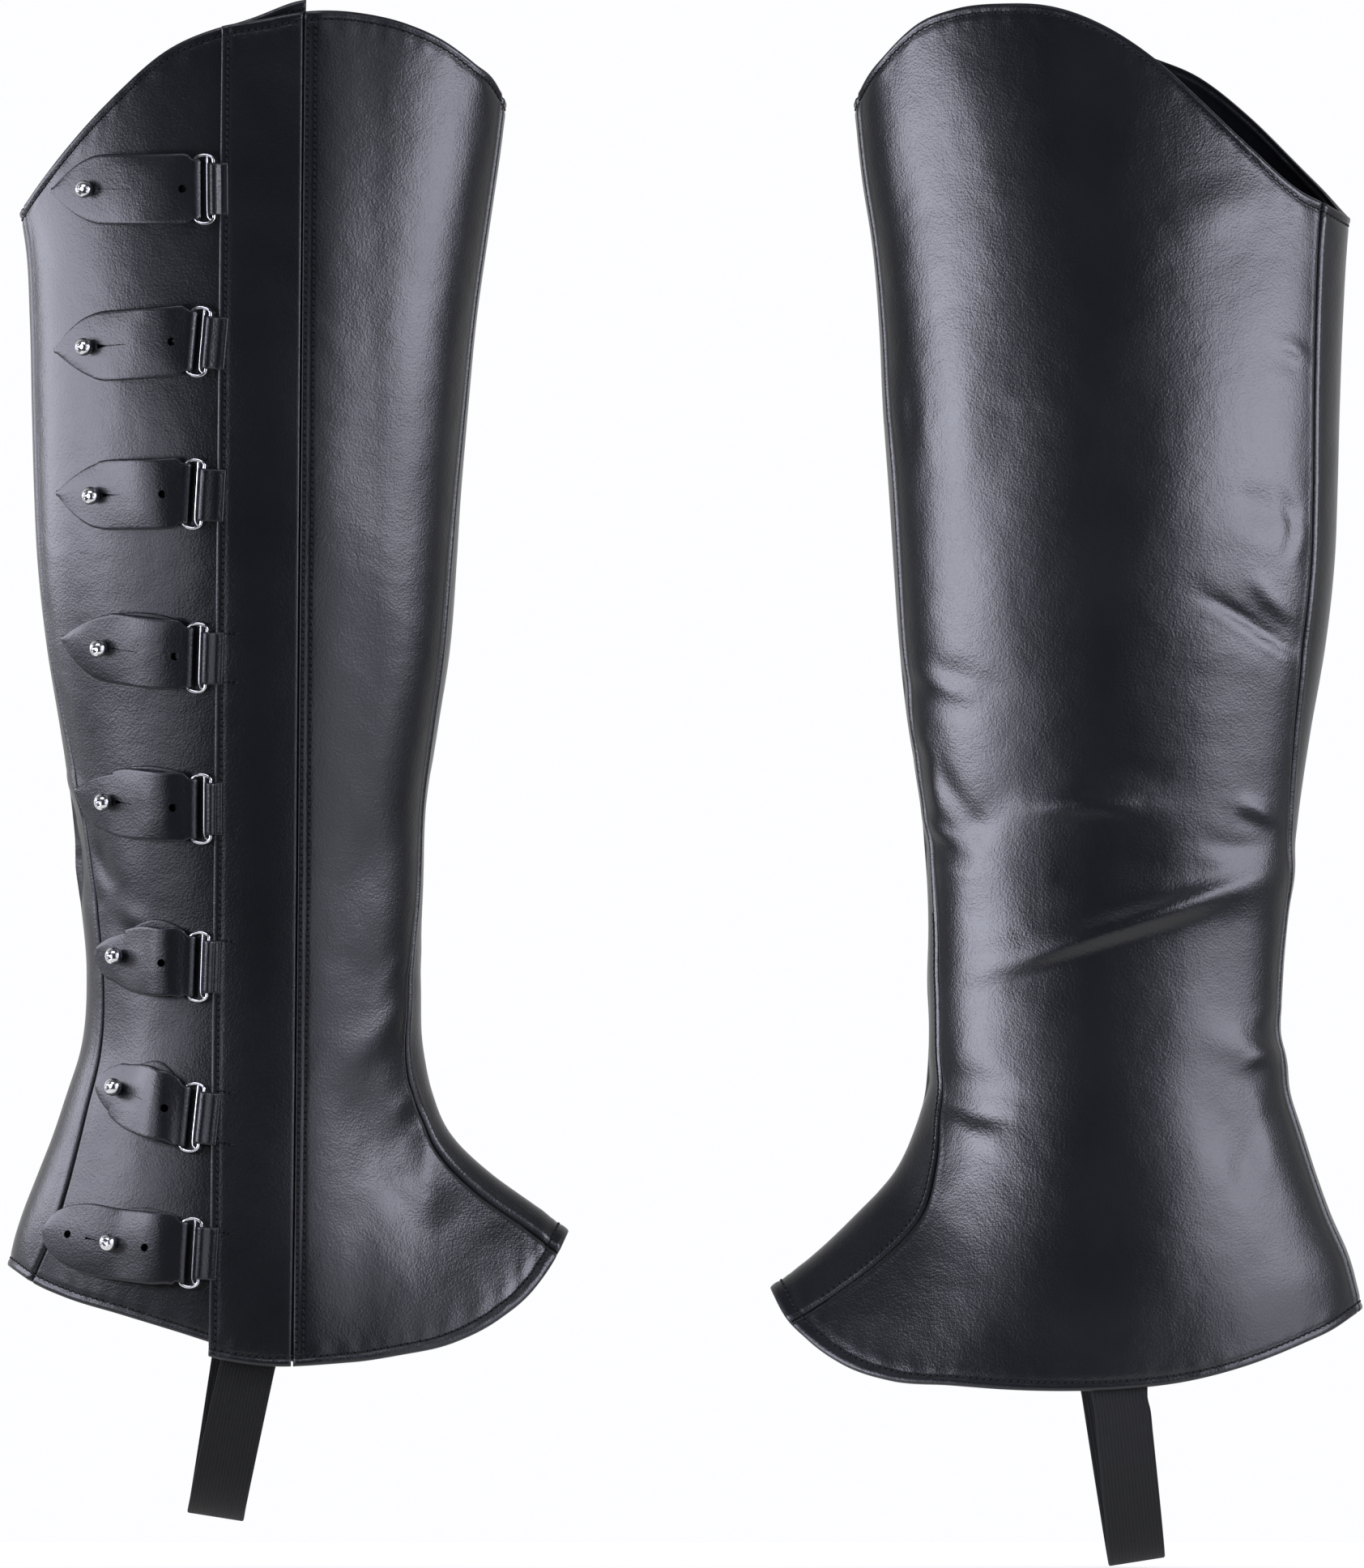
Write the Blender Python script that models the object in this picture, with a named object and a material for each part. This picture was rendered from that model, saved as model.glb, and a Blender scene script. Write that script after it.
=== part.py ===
"""A pair of tall boot covers in black leather cloth, with eight ring straps on each and a stirrup.

Each cover is a hollow leg tube in its worn shape: an inner panel, an outer rear panel that runs
under a closing placket, and an outer front panel. Straps loop round wire rings and button on
ball studs, and a stirrup of elastic passes under the foot. Both covers are built from the same
functions, and the second stands half turned, so that its plain inner side faces the front.
Lengths below are millimetres from the middle of the calf, with x towards the toe, the outer
side at -y, and z up; MM turns them into metres.
"""

import math
from collections import namedtuple

import bmesh
import bpy
import numpy as np
from mathutils import Matrix, Vector

MM = 0.001
COVER_SPACING = 287.5
SEAM_GAP = 0.3
LEATHER = 1.5
RINGS = 20
INNER_COLUMNS = 14
REAR_COLUMNS = 8
FRONT_COLUMNS = 8
PLACKET_COLUMNS = 3

# The placket covers the edge of the rear panel, and the front panel steps down beside it.
PLACKET_THICKNESS = 1.8
PLACKET_LIFT = 2.3
PLACKET_REAR_X = (-12.6, -8.3)
PLACKET_FRONT_X = (14.6, 18.4)
UNDERLAP_X = (16.0, 19.7)
STEP_START = 3.0
STEP_LENGTH = 14.0
CLOSURE_HEIGHTS = (-290.0, 155.0)
FRONT_HEM_DROP = 4.6
UNDERLAP_RISE = 4.0

WIRE = 0.8
RING_WIDTH = 5.6
RING_HEIGHT = 22.8
RING_CORNER = 2.6
STRAP_HALF_WIDTH = 12.0
STRAP_WAIST = 9.1
WAIST_RUN = 5.5
STRAP_THICKNESS = 1.3
STRAP_GAP = 0.65
WIRE_CLEARANCE = 0.5
STRAP_ANCHOR = 4.2
STRAP_POINT = 17.0
STRAP_POINT_WIDTH = 0.9
LOWER_INSET = 0.8
TAB_HALF_HEIGHT = 8.8
TAB_ROOT = 0.4
TAB_THICKNESS = 0.9
STUD_POST = 1.3
STUD_HOLE = 1.65
STUD_BALL = 3.0
STUD_BALL_HEIGHT = 6.6

LOOP_RADIUS = WIRE + WIRE_CLEARANCE + STRAP_THICKNESS / 2
STRAP_LOWER = STRAP_GAP + STRAP_THICKNESS / 2
RING_LIFT = STRAP_LOWER + LOOP_RADIUS
STRAP_UPPER = STRAP_LOWER + STRAP_THICKNESS + 0.35

STIRRUP_WIDTH = 19.0
STIRRUP_THICKNESS = 1.4
STIRRUP_SEWN = 13.0
STIRRUP_OUTER_X = 1.0
STIRRUP_INNER_X = -2.5
STIRRUP_TILT = math.radians(9)

# One row for each level of the leg: height, back edge, front edge, half the depth from side to
# side, and how far each seam lies in from the edge.
Section = namedtuple("Section", "z back front depth back_seam front_seam")
FIRST_SECTIONS = [
    Section(-294.0, -90.0, 160.0, 46.0, 7.0, 3.5),
    Section(-262.0, -80.6, 122.0, 44.0, 7.5, 3.5),
    Section(-248.4, -77.3, 106.9, 43.0, 9.5, 3.5),
    Section(-243.0, -75.6, 99.9, 42.4, 10.0, 3.3),
    Section(-229.5, -70.5, 81.0, 40.7, 9.4, 3.2),
    Section(-216.0, -65.3, 67.5, 38.8, 8.0, 3.0),
    Section(-202.5, -60.8, 61.3, 37.0, 7.0, 3.2),
    Section(-189.0, -56.4, 58.3, 35.4, 6.2, 4.4),
    Section(-162.0, -54.0, 57.2, 34.0, 5.3, 3.8),
    Section(-135.0, -56.4, 58.2, 34.3, 4.5, 1.6),
    Section(-108.0, -59.0, 59.2, 35.6, 3.2, 1.3),
    Section(-81.0, -62.8, 62.9, 37.8, 1.8, 2.0),
    Section(-54.0, -67.1, 67.0, 40.2, 1.3, 2.6),
    Section(-27.0, -70.1, 69.3, 42.4, 1.2, 2.3),
    Section(0.0, -71.6, 71.0, 44.0, 1.2, 1.6),
    Section(27.0, -72.4, 73.2, 44.9, 1.2, 1.2),
    Section(54.0, -72.9, 75.9, 45.0, 1.2, 1.0),
    Section(81.0, -74.5, 79.7, 44.4, 1.2, 1.0),
    Section(91.3, -76.3, 81.2, 44.0, 1.2, 1.0),
    Section(126.0, -84.0, 85.6, 42.0, 1.2, 1.0),
    Section(160.0, -90.0, 86.5, 40.0, 1.2, 1.0),
]
SECOND_SECTIONS = [
    Section(-301.0, -88.0, 155.0, 45.0, 1.4, 6.0),
    Section(-273.0, -83.2, 121.5, 44.0, 1.4, 6.0),
    Section(-256.5, -79.1, 99.6, 42.6, 1.4, 7.5),
    Section(-243.0, -73.4, 85.1, 41.0, 1.4, 9.0),
    Section(-229.5, -68.6, 72.9, 39.3, 1.3, 9.0),
    Section(-216.0, -64.3, 66.2, 37.6, 1.3, 7.0),
    Section(-202.5, -59.9, 62.1, 36.0, 1.2, 4.5),
    Section(-189.0, -57.2, 60.8, 34.6, 1.2, 3.3),
    Section(-162.0, -57.4, 60.8, 33.0, 1.2, 3.1),
    Section(-135.0, -60.0, 61.3, 33.2, 1.2, 2.4),
    Section(-108.0, -62.8, 63.5, 34.6, 3.0, 1.3),
    Section(-81.0, -66.6, 67.5, 37.0, 5.2, 1.4),
    Section(-54.0, -71.3, 70.5, 39.6, 7.2, 1.6),
    Section(-27.0, -74.3, 72.6, 41.6, 7.6, 1.9),
    Section(0.0, -75.6, 74.3, 43.0, 8.0, 2.0),
    Section(27.0, -76.4, 76.1, 43.8, 8.6, 1.6),
    Section(54.0, -77.3, 77.5, 44.0, 9.0, 1.3),
    Section(81.0, -78.8, 79.9, 43.8, 9.2, 1.0),
    Section(102.6, -81.0, 83.2, 43.0, 9.2, 1.0),
    Section(128.0, -84.0, 85.6, 42.0, 9.0, 1.0),
    Section(160.0, -88.0, 87.0, 40.0, 9.0, 1.0),
]

# One row for each place along the edges, from the back at 0 to the toe side at 1: the heights
# of the top edge and of the hem, on the outer and on the inner side.
Edge = namedtuple("Edge", "along top_outer top_inner hem_outer hem_inner")
FIRST_EDGES = [
    Edge(0.00, 91.3, 91.3, -260.0, -260.0),
    Edge(0.05, 102.5, 93.5, -266.0, -265.0),
    Edge(0.10, 112.6, 97.0, -270.0, -268.5),
    Edge(0.20, 130.0, 111.0, -275.6, -273.5),
    Edge(0.30, 144.0, 127.0, -281.2, -278.5),
    Edge(0.40, 151.4, 141.0, -286.9, -283.5),
    Edge(0.50, 154.6, 150.0, -290.9, -287.5),
    Edge(0.60, 157.4, 154.5, -291.6, -288.5),
    Edge(0.70, 157.0, 154.5, -289.0, -286.0),
    Edge(0.80, 153.4, 151.5, -284.6, -282.0),
    Edge(0.88, 147.5, 145.5, -276.8, -275.0),
    Edge(0.94, 140.4, 138.5, -267.0, -266.0),
    Edge(0.98, 134.5, 133.5, -256.0, -255.5),
    Edge(1.00, 128.0, 128.0, -248.4, -248.4),
]
SECOND_EDGES = [
    Edge(0.00, 89.5, 89.5, -274.5, -274.5),
    Edge(0.05, 99.0, 93.8, -279.5, -281.0),
    Edge(0.10, 107.5, 97.8, -283.0, -285.5),
    Edge(0.20, 124.0, 111.8, -289.0, -293.0),
    Edge(0.30, 137.0, 127.4, -294.0, -298.0),
    Edge(0.40, 144.0, 142.2, -297.0, -300.3),
    Edge(0.50, 150.5, 152.9, -298.5, -301.0),
    Edge(0.60, 155.0, 159.0, -298.5, -300.5),
    Edge(0.70, 156.5, 160.1, -296.5, -299.0),
    Edge(0.80, 154.0, 158.4, -293.0, -297.4),
    Edge(0.88, 148.5, 153.0, -288.0, -292.0),
    Edge(0.94, 141.0, 143.6, -281.0, -283.6),
    Edge(0.98, 134.0, 135.0, -273.5, -275.0),
    Edge(1.00, 128.0, 128.0, -267.3, -267.3),
]

# One row for each large fold: its middle, its slope, its length and width, and how far it
# stands out, or in where that is negative.
Fold = namedtuple("Fold", "x z slope length width rise")
FIRST_OUTER_FOLDS = [
    Fold(48.0, -222.0, -52.0, 46.0, 9.0, -2.2),
    Fold(36.0, -186.0, 40.0, 52.0, 9.0, 1.6),
    Fold(38.0, -128.0, 55.0, 60.0, 9.0, -1.6),
    Fold(46.0, -78.0, 70.0, 60.0, 9.0, 1.4),
    Fold(-52.0, -128.0, -62.0, 44.0, 7.0, -1.6),
]
FIRST_INNER_FOLDS = [
    Fold(-8.0, -140.0, -14.0, 96.0, 7.0, 2.0),
    Fold(44.0, -112.0, 22.0, 44.0, 8.0, -1.8),
    Fold(-46.0, -56.0, 26.0, 40.0, 8.0, -1.6),
    Fold(-42.0, -222.0, 62.0, 48.0, 8.0, -1.8),
]
SECOND_OUTER_FOLDS = [
    Fold(52.0, -226.0, -50.0, 46.0, 9.0, -2.0),
    Fold(36.0, -180.0, 36.0, 52.0, 9.0, 1.6),
    Fold(40.0, -122.0, 52.0, 60.0, 9.0, -1.6),
    Fold(-54.0, -124.0, -60.0, 44.0, 7.0, -1.6),
]
SECOND_INNER_FOLDS = [
    Fold(-13.0, -143.0, -15.0, 100.0, 6.5, 2.4),
    Fold(7.0, -108.0, 2.0, 44.0, 6.0, 1.5),
    Fold(-48.0, -46.0, 25.0, 38.0, 6.5, -2.0),
    Fold(53.0, -66.0, 16.0, 34.0, 6.5, -1.8),
    Fold(50.0, -116.0, -32.0, 40.0, 6.5, -1.6),
    Fold(-50.0, -190.0, 20.0, 32.0, 6.0, 1.6),
    Fold(-43.0, -224.0, 60.0, 44.0, 7.0, -2.2),
    Fold(50.0, -200.0, 10.0, 34.0, 7.0, -1.8),
]

# One row for each strap, from the top: where it turns round its ring, where its stud is, where
# its point lies, how blunt the point is, and how far the upper layer bows out on the way.
Strap = namedtuple("Strap", "ring_x ring_z stud_x stud_z tip_x tip_z taper bow")
STRAPS = [
    Strap(-16.8, 98.0, -51.0, 98.2, -63.5, 98.3, 1.0, 0.0),
    Strap(-18.6, 47.8, -50.8, 45.9, -62.1, 44.8, 1.0, 0.4),
    Strap(-20.3, -2.7, -48.7, -3.2, -61.4, -2.4, 1.0, 0.8),
    Strap(-19.2, -57.0, -46.2, -53.5, -59.9, -50.4, 1.0, 0.4),
    Strap(-17.8, -107.4, -44.4, -104.8, -55.3, -101.0, 0.9, 1.6),
    Strap(-18.6, -160.0, -40.8, -156.6, -48.0, -153.6, 0.6, 2.0),
    Strap(-20.8, -210.3, -41.3, -201.5, -48.6, -200.0, 0.6, 2.2),
    Strap(-21.3, -255.0, -43.7, -252.3, -66.0, -248.0, 0.5, 1.0),
]


def curve(rows, column):
    """A smooth curve through one column of a table, read by the table's first column."""
    keys = np.array([row[0] for row in rows], float)
    values = np.array([getattr(row, column) for row in rows], float)
    slopes = np.gradient(values, keys)

    def at(key):
        key = np.clip(key, keys[0], keys[-1])
        i = np.clip(np.searchsorted(keys, key) - 1, 0, len(keys) - 2)
        step = keys[i + 1] - keys[i]
        t = (key - keys[i]) / step
        start = values[i] * (1 + 2 * t) * (1 - t) ** 2 + values[i + 1] * t**2 * (3 - 2 * t)
        return start + step * t * (1 - t) * (slopes[i] * (1 - t) - slopes[i + 1] * t)

    return at


def between(pair, z):
    """A value that runs evenly from the hem to the top edge of the closure."""
    share = (z - CLOSURE_HEIGHTS[0]) / (CLOSURE_HEIGHTS[1] - CLOSURE_HEIGHTS[0])
    return pair[0] + (pair[1] - pair[0]) * share


def ease(t):
    """0 before 0 and 1 after 1, with a soft start and end."""
    t = np.clip(t, 0, 1)
    return t * t * (3 - 2 * t)


class LegTube:
    """The worn shape of one cover, as a tube read by the angle round it and the share of its height.

    The angle is 0 at the toe side, pi at the back, and between pi and 2 pi on the outer side.
    """

    def __init__(self, sections, edges, outer_folds, inner_folds, seam_side):
        self.back = curve(sections, "back")
        self.front = curve(sections, "front")
        self.depth = curve(sections, "depth")
        self.back_strip = curve(sections, "back_seam")
        self.front_strip = curve(sections, "front_seam")
        self.top = (curve(edges, "top_outer"), curve(edges, "top_inner"))
        self.hem = (curve(edges, "hem_outer"), curve(edges, "hem_inner"))
        self.folds = (outer_folds, inner_folds)
        self.seam_side = seam_side

    def heights(self, along, outer):
        """The hem's and the top edge's height at a place from back to front."""
        hem = np.where(outer, self.hem[0](along), self.hem[1](along))
        top = np.where(outer, self.top[0](along), self.top[1](along))
        return hem, top

    def ends(self, share):
        """Where the back and the front edge lie at this share of the height."""
        back_z = self.hem[0](0.0) + (self.top[0](0.0) - self.hem[0](0.0)) * share
        front_z = self.hem[0](1.0) + (self.top[0](1.0) - self.hem[0](1.0)) * share
        return self.back(back_z), self.front(front_z), back_z, front_z

    def fold_rise(self, x, z, outer):
        rise = np.zeros_like(x)
        for side, folds in zip((outer, ~outer), self.folds):
            for fold in folds:
                slope = math.radians(fold.slope)
                along = (x - fold.x) * math.cos(slope) + (z - fold.z) * math.sin(slope)
                across = (z - fold.z) * math.cos(slope) - (x - fold.x) * math.sin(slope)
                shape = np.exp(-((across / fold.width) ** 2) - (2 * along / fold.length) ** 2)
                rise = rise + np.where(side, fold.rise * shape, 0.0)
        return rise

    def smooth_point(self, angle, share, extra_z=0.0):
        along = (1 + np.cos(angle)) / 2
        outer = np.sin(angle) < 0
        hem, top = self.heights(along, outer)
        back, front, _, _ = self.ends(share)
        x = back + (front - back) * along
        z = hem + (top - hem) * share + extra_z
        return np.stack([x, self.depth(z) * np.sin(angle), z], axis=-1)

    def point(self, angle, share, lift=0.0, extra_z=0.0):
        """A point of the cloth's outer face, moved out by lift."""
        angle, share = np.broadcast_arrays(np.asarray(angle, float), np.asarray(share, float))
        step = 1e-3
        here = self.smooth_point(angle, share, extra_z)
        round_it = self.smooth_point(angle + step, share, extra_z) - here
        up_it = self.smooth_point(angle, share + step, extra_z) - here
        out = np.cross(round_it, up_it)
        out /= np.linalg.norm(out, axis=-1, keepdims=True)
        fold = self.fold_rise(here[..., 0], here[..., 2], np.sin(angle) < 0)
        return here + out * np.asarray(fold + lift)[..., None]

    def outer_place(self, x, z):
        """The angle and share of the outer face's point at this x and z."""
        x, z = np.broadcast_arrays(np.asarray(x, float), np.asarray(z, float))
        share = np.full(x.shape, 0.5)
        for _ in range(20):
            back, front, _, _ = self.ends(share)
            along = np.clip((x - back) / (front - back), 0.0, 1.0)
            hem, top = self.heights(along, True)
            share = (z - hem) / (top - hem)
        return 2 * math.pi - np.arccos(2 * along - 1), share

    def on_outer(self, x, z, lift=0.0):
        """A point of the outer side at this x and z, moved out by lift."""
        return self.point(*self.outer_place(x, z), lift)

    def frame(self, x, z):
        """The point of the outer side at x and z, with its forward, up and outward directions."""
        here = self.on_outer(x, z)
        forward = self.on_outer(x + 1, z) - here
        up = self.on_outer(x, z + 1) - here
        out = np.cross(forward, up)
        out /= np.linalg.norm(out)
        forward /= np.linalg.norm(forward)
        return here, forward, np.cross(out, forward), out

    def seam_angles(self, share):
        """The angles of the front and the back seam at this share of the height."""
        back, front, back_z, front_z = self.ends(share)
        width = front - back
        front_turn = np.arccos(1 - 2 * self.front_strip(front_z) / width)
        back_turn = np.arccos(1 - 2 * self.back_strip(back_z) / width)
        return self.seam_side * front_turn, math.pi - self.seam_side * back_turn

    def closure_angle(self, pair, share):
        """The angle at which a line of the closure, given by its x at hem and top, crosses."""
        middle_hem, middle_top = self.heights(0.45, True)
        z = middle_hem + (middle_top - middle_hem) * share
        back, front, _, _ = self.ends(share)
        along = (between(pair, z) - back) / (front - back)
        return 2 * math.pi - np.arccos(2 * along - 1)

    def gap_angle(self, share):
        """Half of a seam's gap, as an angle."""
        _, _, back_z, _ = self.ends(share)
        return SEAM_GAP / 2 / self.depth(back_z)


def levels():
    """Shares of the height, closer together at the flare above the hem."""
    return np.linspace(0, 1, RINGS + 1) ** 1.12


def link(obj, parent, material):
    bpy.context.scene.collection.objects.link(obj)
    obj.parent = parent
    if material:
        obj.data.materials.append(material)
    return obj


def grid_faces(rows, columns, first=0):
    """The faces of a grid of points, turned so that they face out of the leg."""
    corner = [[first + r * columns + c for c in range(columns)] for r in range(rows)]
    return [
        (corner[r][c], corner[r][c + 1], corner[r + 1][c + 1], corner[r + 1][c])
        for r in range(rows - 1)
        for c in range(columns - 1)
    ]


def wall(name, outside, inside, parent, material):
    """A closed cloth wall between two grids of points of the same size."""
    rows, columns = outside.shape[:2]
    count = rows * columns
    faces = grid_faces(rows, columns)
    faces += [tuple(count + corner for corner in face[::-1]) for face in grid_faces(rows, columns)]
    rim = [(0, c) for c in range(columns - 1)]
    rim += [(r, columns - 1) for r in range(rows - 1)]
    rim += [(rows - 1, c) for c in range(columns - 1, 0, -1)]
    rim += [(r, 0) for r in range(rows - 1, 0, -1)]
    rim = [r * columns + c for r, c in rim]
    for here, following in zip(rim, rim[1:] + rim[:1]):
        faces.append((following, here, here + count, following + count))
    mesh = bpy.data.meshes.new(name)
    points = np.concatenate([outside.reshape(-1, 3), inside.reshape(-1, 3)])
    mesh.from_pydata((points * MM).tolist(), [], faces)
    obj = link(bpy.data.objects.new(name, mesh), parent, material)
    obj.data.shade_smooth()
    return obj


def strip(name, points, thickness, parent, material):
    """A band of even thickness, half of it on each side of its rows of points."""
    mesh = bpy.data.meshes.new(name)
    rows, columns = points.shape[:2]
    mesh.from_pydata((points.reshape(-1, 3) * MM).tolist(), [], grid_faces(rows, columns))
    obj = link(bpy.data.objects.new(name, mesh), parent, material)
    thicken = obj.modifiers.new("Thickness", "SOLIDIFY")
    thicken.thickness = thickness * MM
    thicken.offset = 0.0
    thicken.use_even_offset = True
    obj.data.shade_smooth()
    return obj


def panel(tube, name, thickness, start, end, columns, parent, material, lift=None, extra_z=None):
    """A panel from the start angle to the end angle at every level, laid inside its outer face."""
    faces = []
    for depth in (0.0, thickness):
        rows = []
        for share in levels():
            angles = np.linspace(start(share), end(share), columns + 1)
            x = tube.smooth_point(angles, np.full_like(angles, share))[:, 0]
            out = lift(x, share) if lift else 0.0
            up = extra_z(x, share) if extra_z else 0.0
            rows.append(tube.point(angles, share, out - depth, up))
        faces.append(np.array(rows))
    return wall(name, faces[0], faces[1], parent, material)


def inner_panel(tube, prefix, parent, leather):
    return panel(
        tube,
        prefix + "inner_panel",
        LEATHER,
        lambda s: tube.seam_angles(s)[0] + tube.gap_angle(s),
        lambda s: tube.seam_angles(s)[1] - tube.gap_angle(s),
        INNER_COLUMNS,
        parent,
        leather,
    )


def rear_panel(tube, prefix, parent, leather):
    def underlap_rise(x, share):
        """The corner under the placket stands a little above the top edge."""
        start = between(PLACKET_REAR_X, CLOSURE_HEIGHTS[1])
        end = between(UNDERLAP_X, CLOSURE_HEIGHTS[1])
        return UNDERLAP_RISE * ease((x - start) / (end - start)) * share**8

    return panel(
        tube,
        prefix + "outer_rear_panel",
        LEATHER,
        lambda s: tube.seam_angles(s)[1] + tube.gap_angle(s),
        lambda s: tube.closure_angle(UNDERLAP_X, s),
        REAR_COLUMNS,
        parent,
        leather,
        extra_z=underlap_rise,
    )


def closure_lift(x, share):
    """How far the placket and the front panel's edge stand out over the rear panel."""
    start = between(UNDERLAP_X, CLOSURE_HEIGHTS[1]) + STEP_START
    return PLACKET_LIFT * (1 - ease((x - start) / STEP_LENGTH))


def hem_drop(x, share):
    """The front panel and the placket hang a little below the rear panel."""
    start = PLACKET_REAR_X[0]
    return -FRONT_HEM_DROP * (1 - ease((x - start) / 48.0)) * (1 - share) ** 8


def front_panel(tube, prefix, parent, leather):
    return panel(
        tube,
        prefix + "outer_front_panel",
        LEATHER,
        lambda s: tube.closure_angle(PLACKET_FRONT_X, s) + 2 * tube.gap_angle(s),
        lambda s: tube.seam_angles(s)[0] + 2 * math.pi - tube.gap_angle(s),
        FRONT_COLUMNS,
        parent,
        leather,
        closure_lift,
        hem_drop,
    )


def tab_loops(tube, prefix, parent):
    """The eight leather tabs that hold the rings, as loops that end inside the placket."""
    hole = WIRE + WIRE_CLEARANCE
    outer = hole + TAB_THICKNESS
    turns = np.radians(np.arange(15, 375, 30))
    root = np.cos(turns) > 0.5
    bm = bmesh.new()
    for strap in STRAPS:
        here, forward, up, out = tube.frame(strap.ring_x, strap.ring_z)
        root_x = between(PLACKET_REAR_X, strap.ring_z) + TAB_ROOT
        loops = []
        for end in (-TAB_HALF_HEIGHT, TAB_HALF_HEIGHT):
            for reach in (outer, hole):
                across = RING_WIDTH + reach * np.cos(turns)
                lift = RING_LIFT + reach * np.sin(turns)
                points = here + up * end + np.outer(across, forward) + np.outer(lift, out)
                if reach == outer:
                    middle = PLACKET_LIFT - PLACKET_THICKNESS / 2
                    inside = middle + 0.5 * np.sin(turns[root])
                    points[root] = tube.on_outer(root_x, strap.ring_z + end, inside)
                loops.append([bm.verts.new(Vector(p) * MM) for p in points])
        low_out, low_in, high_out, high_in = loops
        for i in range(len(turns)):
            j = (i + 1) % len(turns)
            bm.faces.new((low_out[i], low_out[j], high_out[j], high_out[i]))
            bm.faces.new((low_in[j], low_in[i], high_in[i], high_in[j]))
            bm.faces.new((low_out[j], low_out[i], low_in[i], low_in[j]))
            bm.faces.new((high_out[i], high_out[j], high_in[j], high_in[i]))
    bmesh.ops.recalc_face_normals(bm, faces=bm.faces)
    mesh = bpy.data.meshes.new(prefix + "tab_loops")
    bm.to_mesh(mesh)
    bm.free()
    tabs = link(bpy.data.objects.new(prefix + "tab_loops", mesh), parent, None)
    hide(tabs)
    return tabs


def hide(helper):
    helper.hide_render = True
    helper.display_type = "WIRE"


def placket(tube, prefix, parent, leather):
    """The closing band down the outer side, with the ring tabs sewn into its rear edge."""
    obj = panel(
        tube,
        prefix + "placket",
        PLACKET_THICKNESS,
        lambda s: tube.closure_angle(PLACKET_REAR_X, s),
        lambda s: tube.closure_angle(PLACKET_FRONT_X, s),
        PLACKET_COLUMNS,
        parent,
        leather,
        closure_lift,
        hem_drop,
    )
    join = obj.modifiers.new("Ring tabs", "BOOLEAN")
    join.operation = "UNION"
    join.object = tab_loops(tube, prefix, parent)
    return obj


def strap_half_width(strap, x):
    """Half the strap's width: narrow in the ring, then full, then down to the point."""
    short = max(0.0, (strap.tip_x + STRAP_POINT - x) / STRAP_POINT)
    point = max(0.0, 1 - short**1.9) ** strap.taper
    waist = 1 - ease((strap.ring_x - x) / WAIST_RUN)
    return STRAP_HALF_WIDTH * point - (STRAP_HALF_WIDTH - STRAP_WAIST) * waist


def strap_stations(strap):
    """The strap's way from its sewn end round the ring to its point: x, lift and half width."""
    stations = []
    sewn = strap.stud_x - STRAP_ANCHOR - strap.ring_x
    for turn in np.linspace(math.pi / 2, 0, 6)[:-1]:
        x = strap.ring_x + sewn * math.sin(turn)
        stations.append((x, STRAP_LOWER, strap_half_width(strap, x) - LOWER_INSET))
    for turn in np.linspace(-math.pi / 2, math.pi / 2, 5):
        x = strap.ring_x + LOOP_RADIUS * math.cos(turn)
        stations.append((x, RING_LIFT + LOOP_RADIUS * math.sin(turn), STRAP_WAIST))
    shoulder = strap.tip_x + STRAP_POINT
    reach = RING_LIFT + LOOP_RADIUS - STRAP_UPPER
    run = [strap.ring_x - WAIST_RUN / 2]
    run += list(np.linspace(strap.ring_x - WAIST_RUN, shoulder, 3))
    run += [strap.tip_x + STRAP_POINT * share for share in (0.68, 0.38, 0.15, 0.0)]
    for x in run:
        back = (strap.ring_x - x) / (strap.ring_x - strap.stud_x)
        bow = strap.bow * math.sin(math.pi * min(back, 1.0)) ** 2
        lift = STRAP_UPPER + reach * (1 - ease(back)) + bow
        stations.append((x, lift, max(strap_half_width(strap, x), STRAP_POINT_WIDTH)))
    return stations


def strap_centre(strap, x):
    """The height of the strap's middle line and its tilt at x."""
    slope = (strap.stud_z - strap.ring_z) / (strap.stud_x - strap.ring_x)
    if x >= strap.stud_x:
        return strap.ring_z + (x - strap.ring_x) * slope, math.atan(slope)
    end_slope = (strap.tip_z - strap.stud_z) / (strap.tip_x - strap.stud_x)
    return strap.stud_z + (x - strap.stud_x) * end_slope, math.atan(slope)


def strap_piece(tube, prefix, number, strap, parent, leather):
    """The strap lies on the cover, and in the ring it is as flat and upright as the ring's bar."""
    rows = []
    here, forward, up, out = tube.frame(strap.ring_x, strap.ring_z)
    for x, lift, half in strap_stations(strap):
        away = float(ease((strap.ring_x - x) / WAIST_RUN))
        z, tilt = strap_centre(strap, x)
        tilt *= float(ease((strap.ring_x - x) / (strap.ring_x - strap.stud_x)))
        side = np.array([1.0, -1.0]) * half
        lying = tube.on_outer(x - side * math.sin(tilt), z + side * math.cos(tilt), lift)
        in_ring = here + forward * (x - strap.ring_x) + out * lift + np.outer(side, up)
        rows.append(in_ring + (lying - in_ring) * away)
    name = f"{prefix}strap_{number}"
    obj = strip(name, np.array(rows)[:, ::-1], STRAP_THICKNESS, parent, leather)
    hole = obj.modifiers.new("Stud hole", "BOOLEAN")
    hole.operation = "DIFFERENCE"
    hole.object = stud_hole(tube, name, strap, parent)
    return obj


def standing(tube, x, z, lift):
    """The placing of a piece that stands on the outer side, with its own z pointing out."""
    here, forward, up, out = tube.frame(x, z)
    turn = Matrix((forward, up, out)).transposed().to_4x4()
    return Matrix.Translation(Vector(here + out * lift) * MM) @ turn


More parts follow.
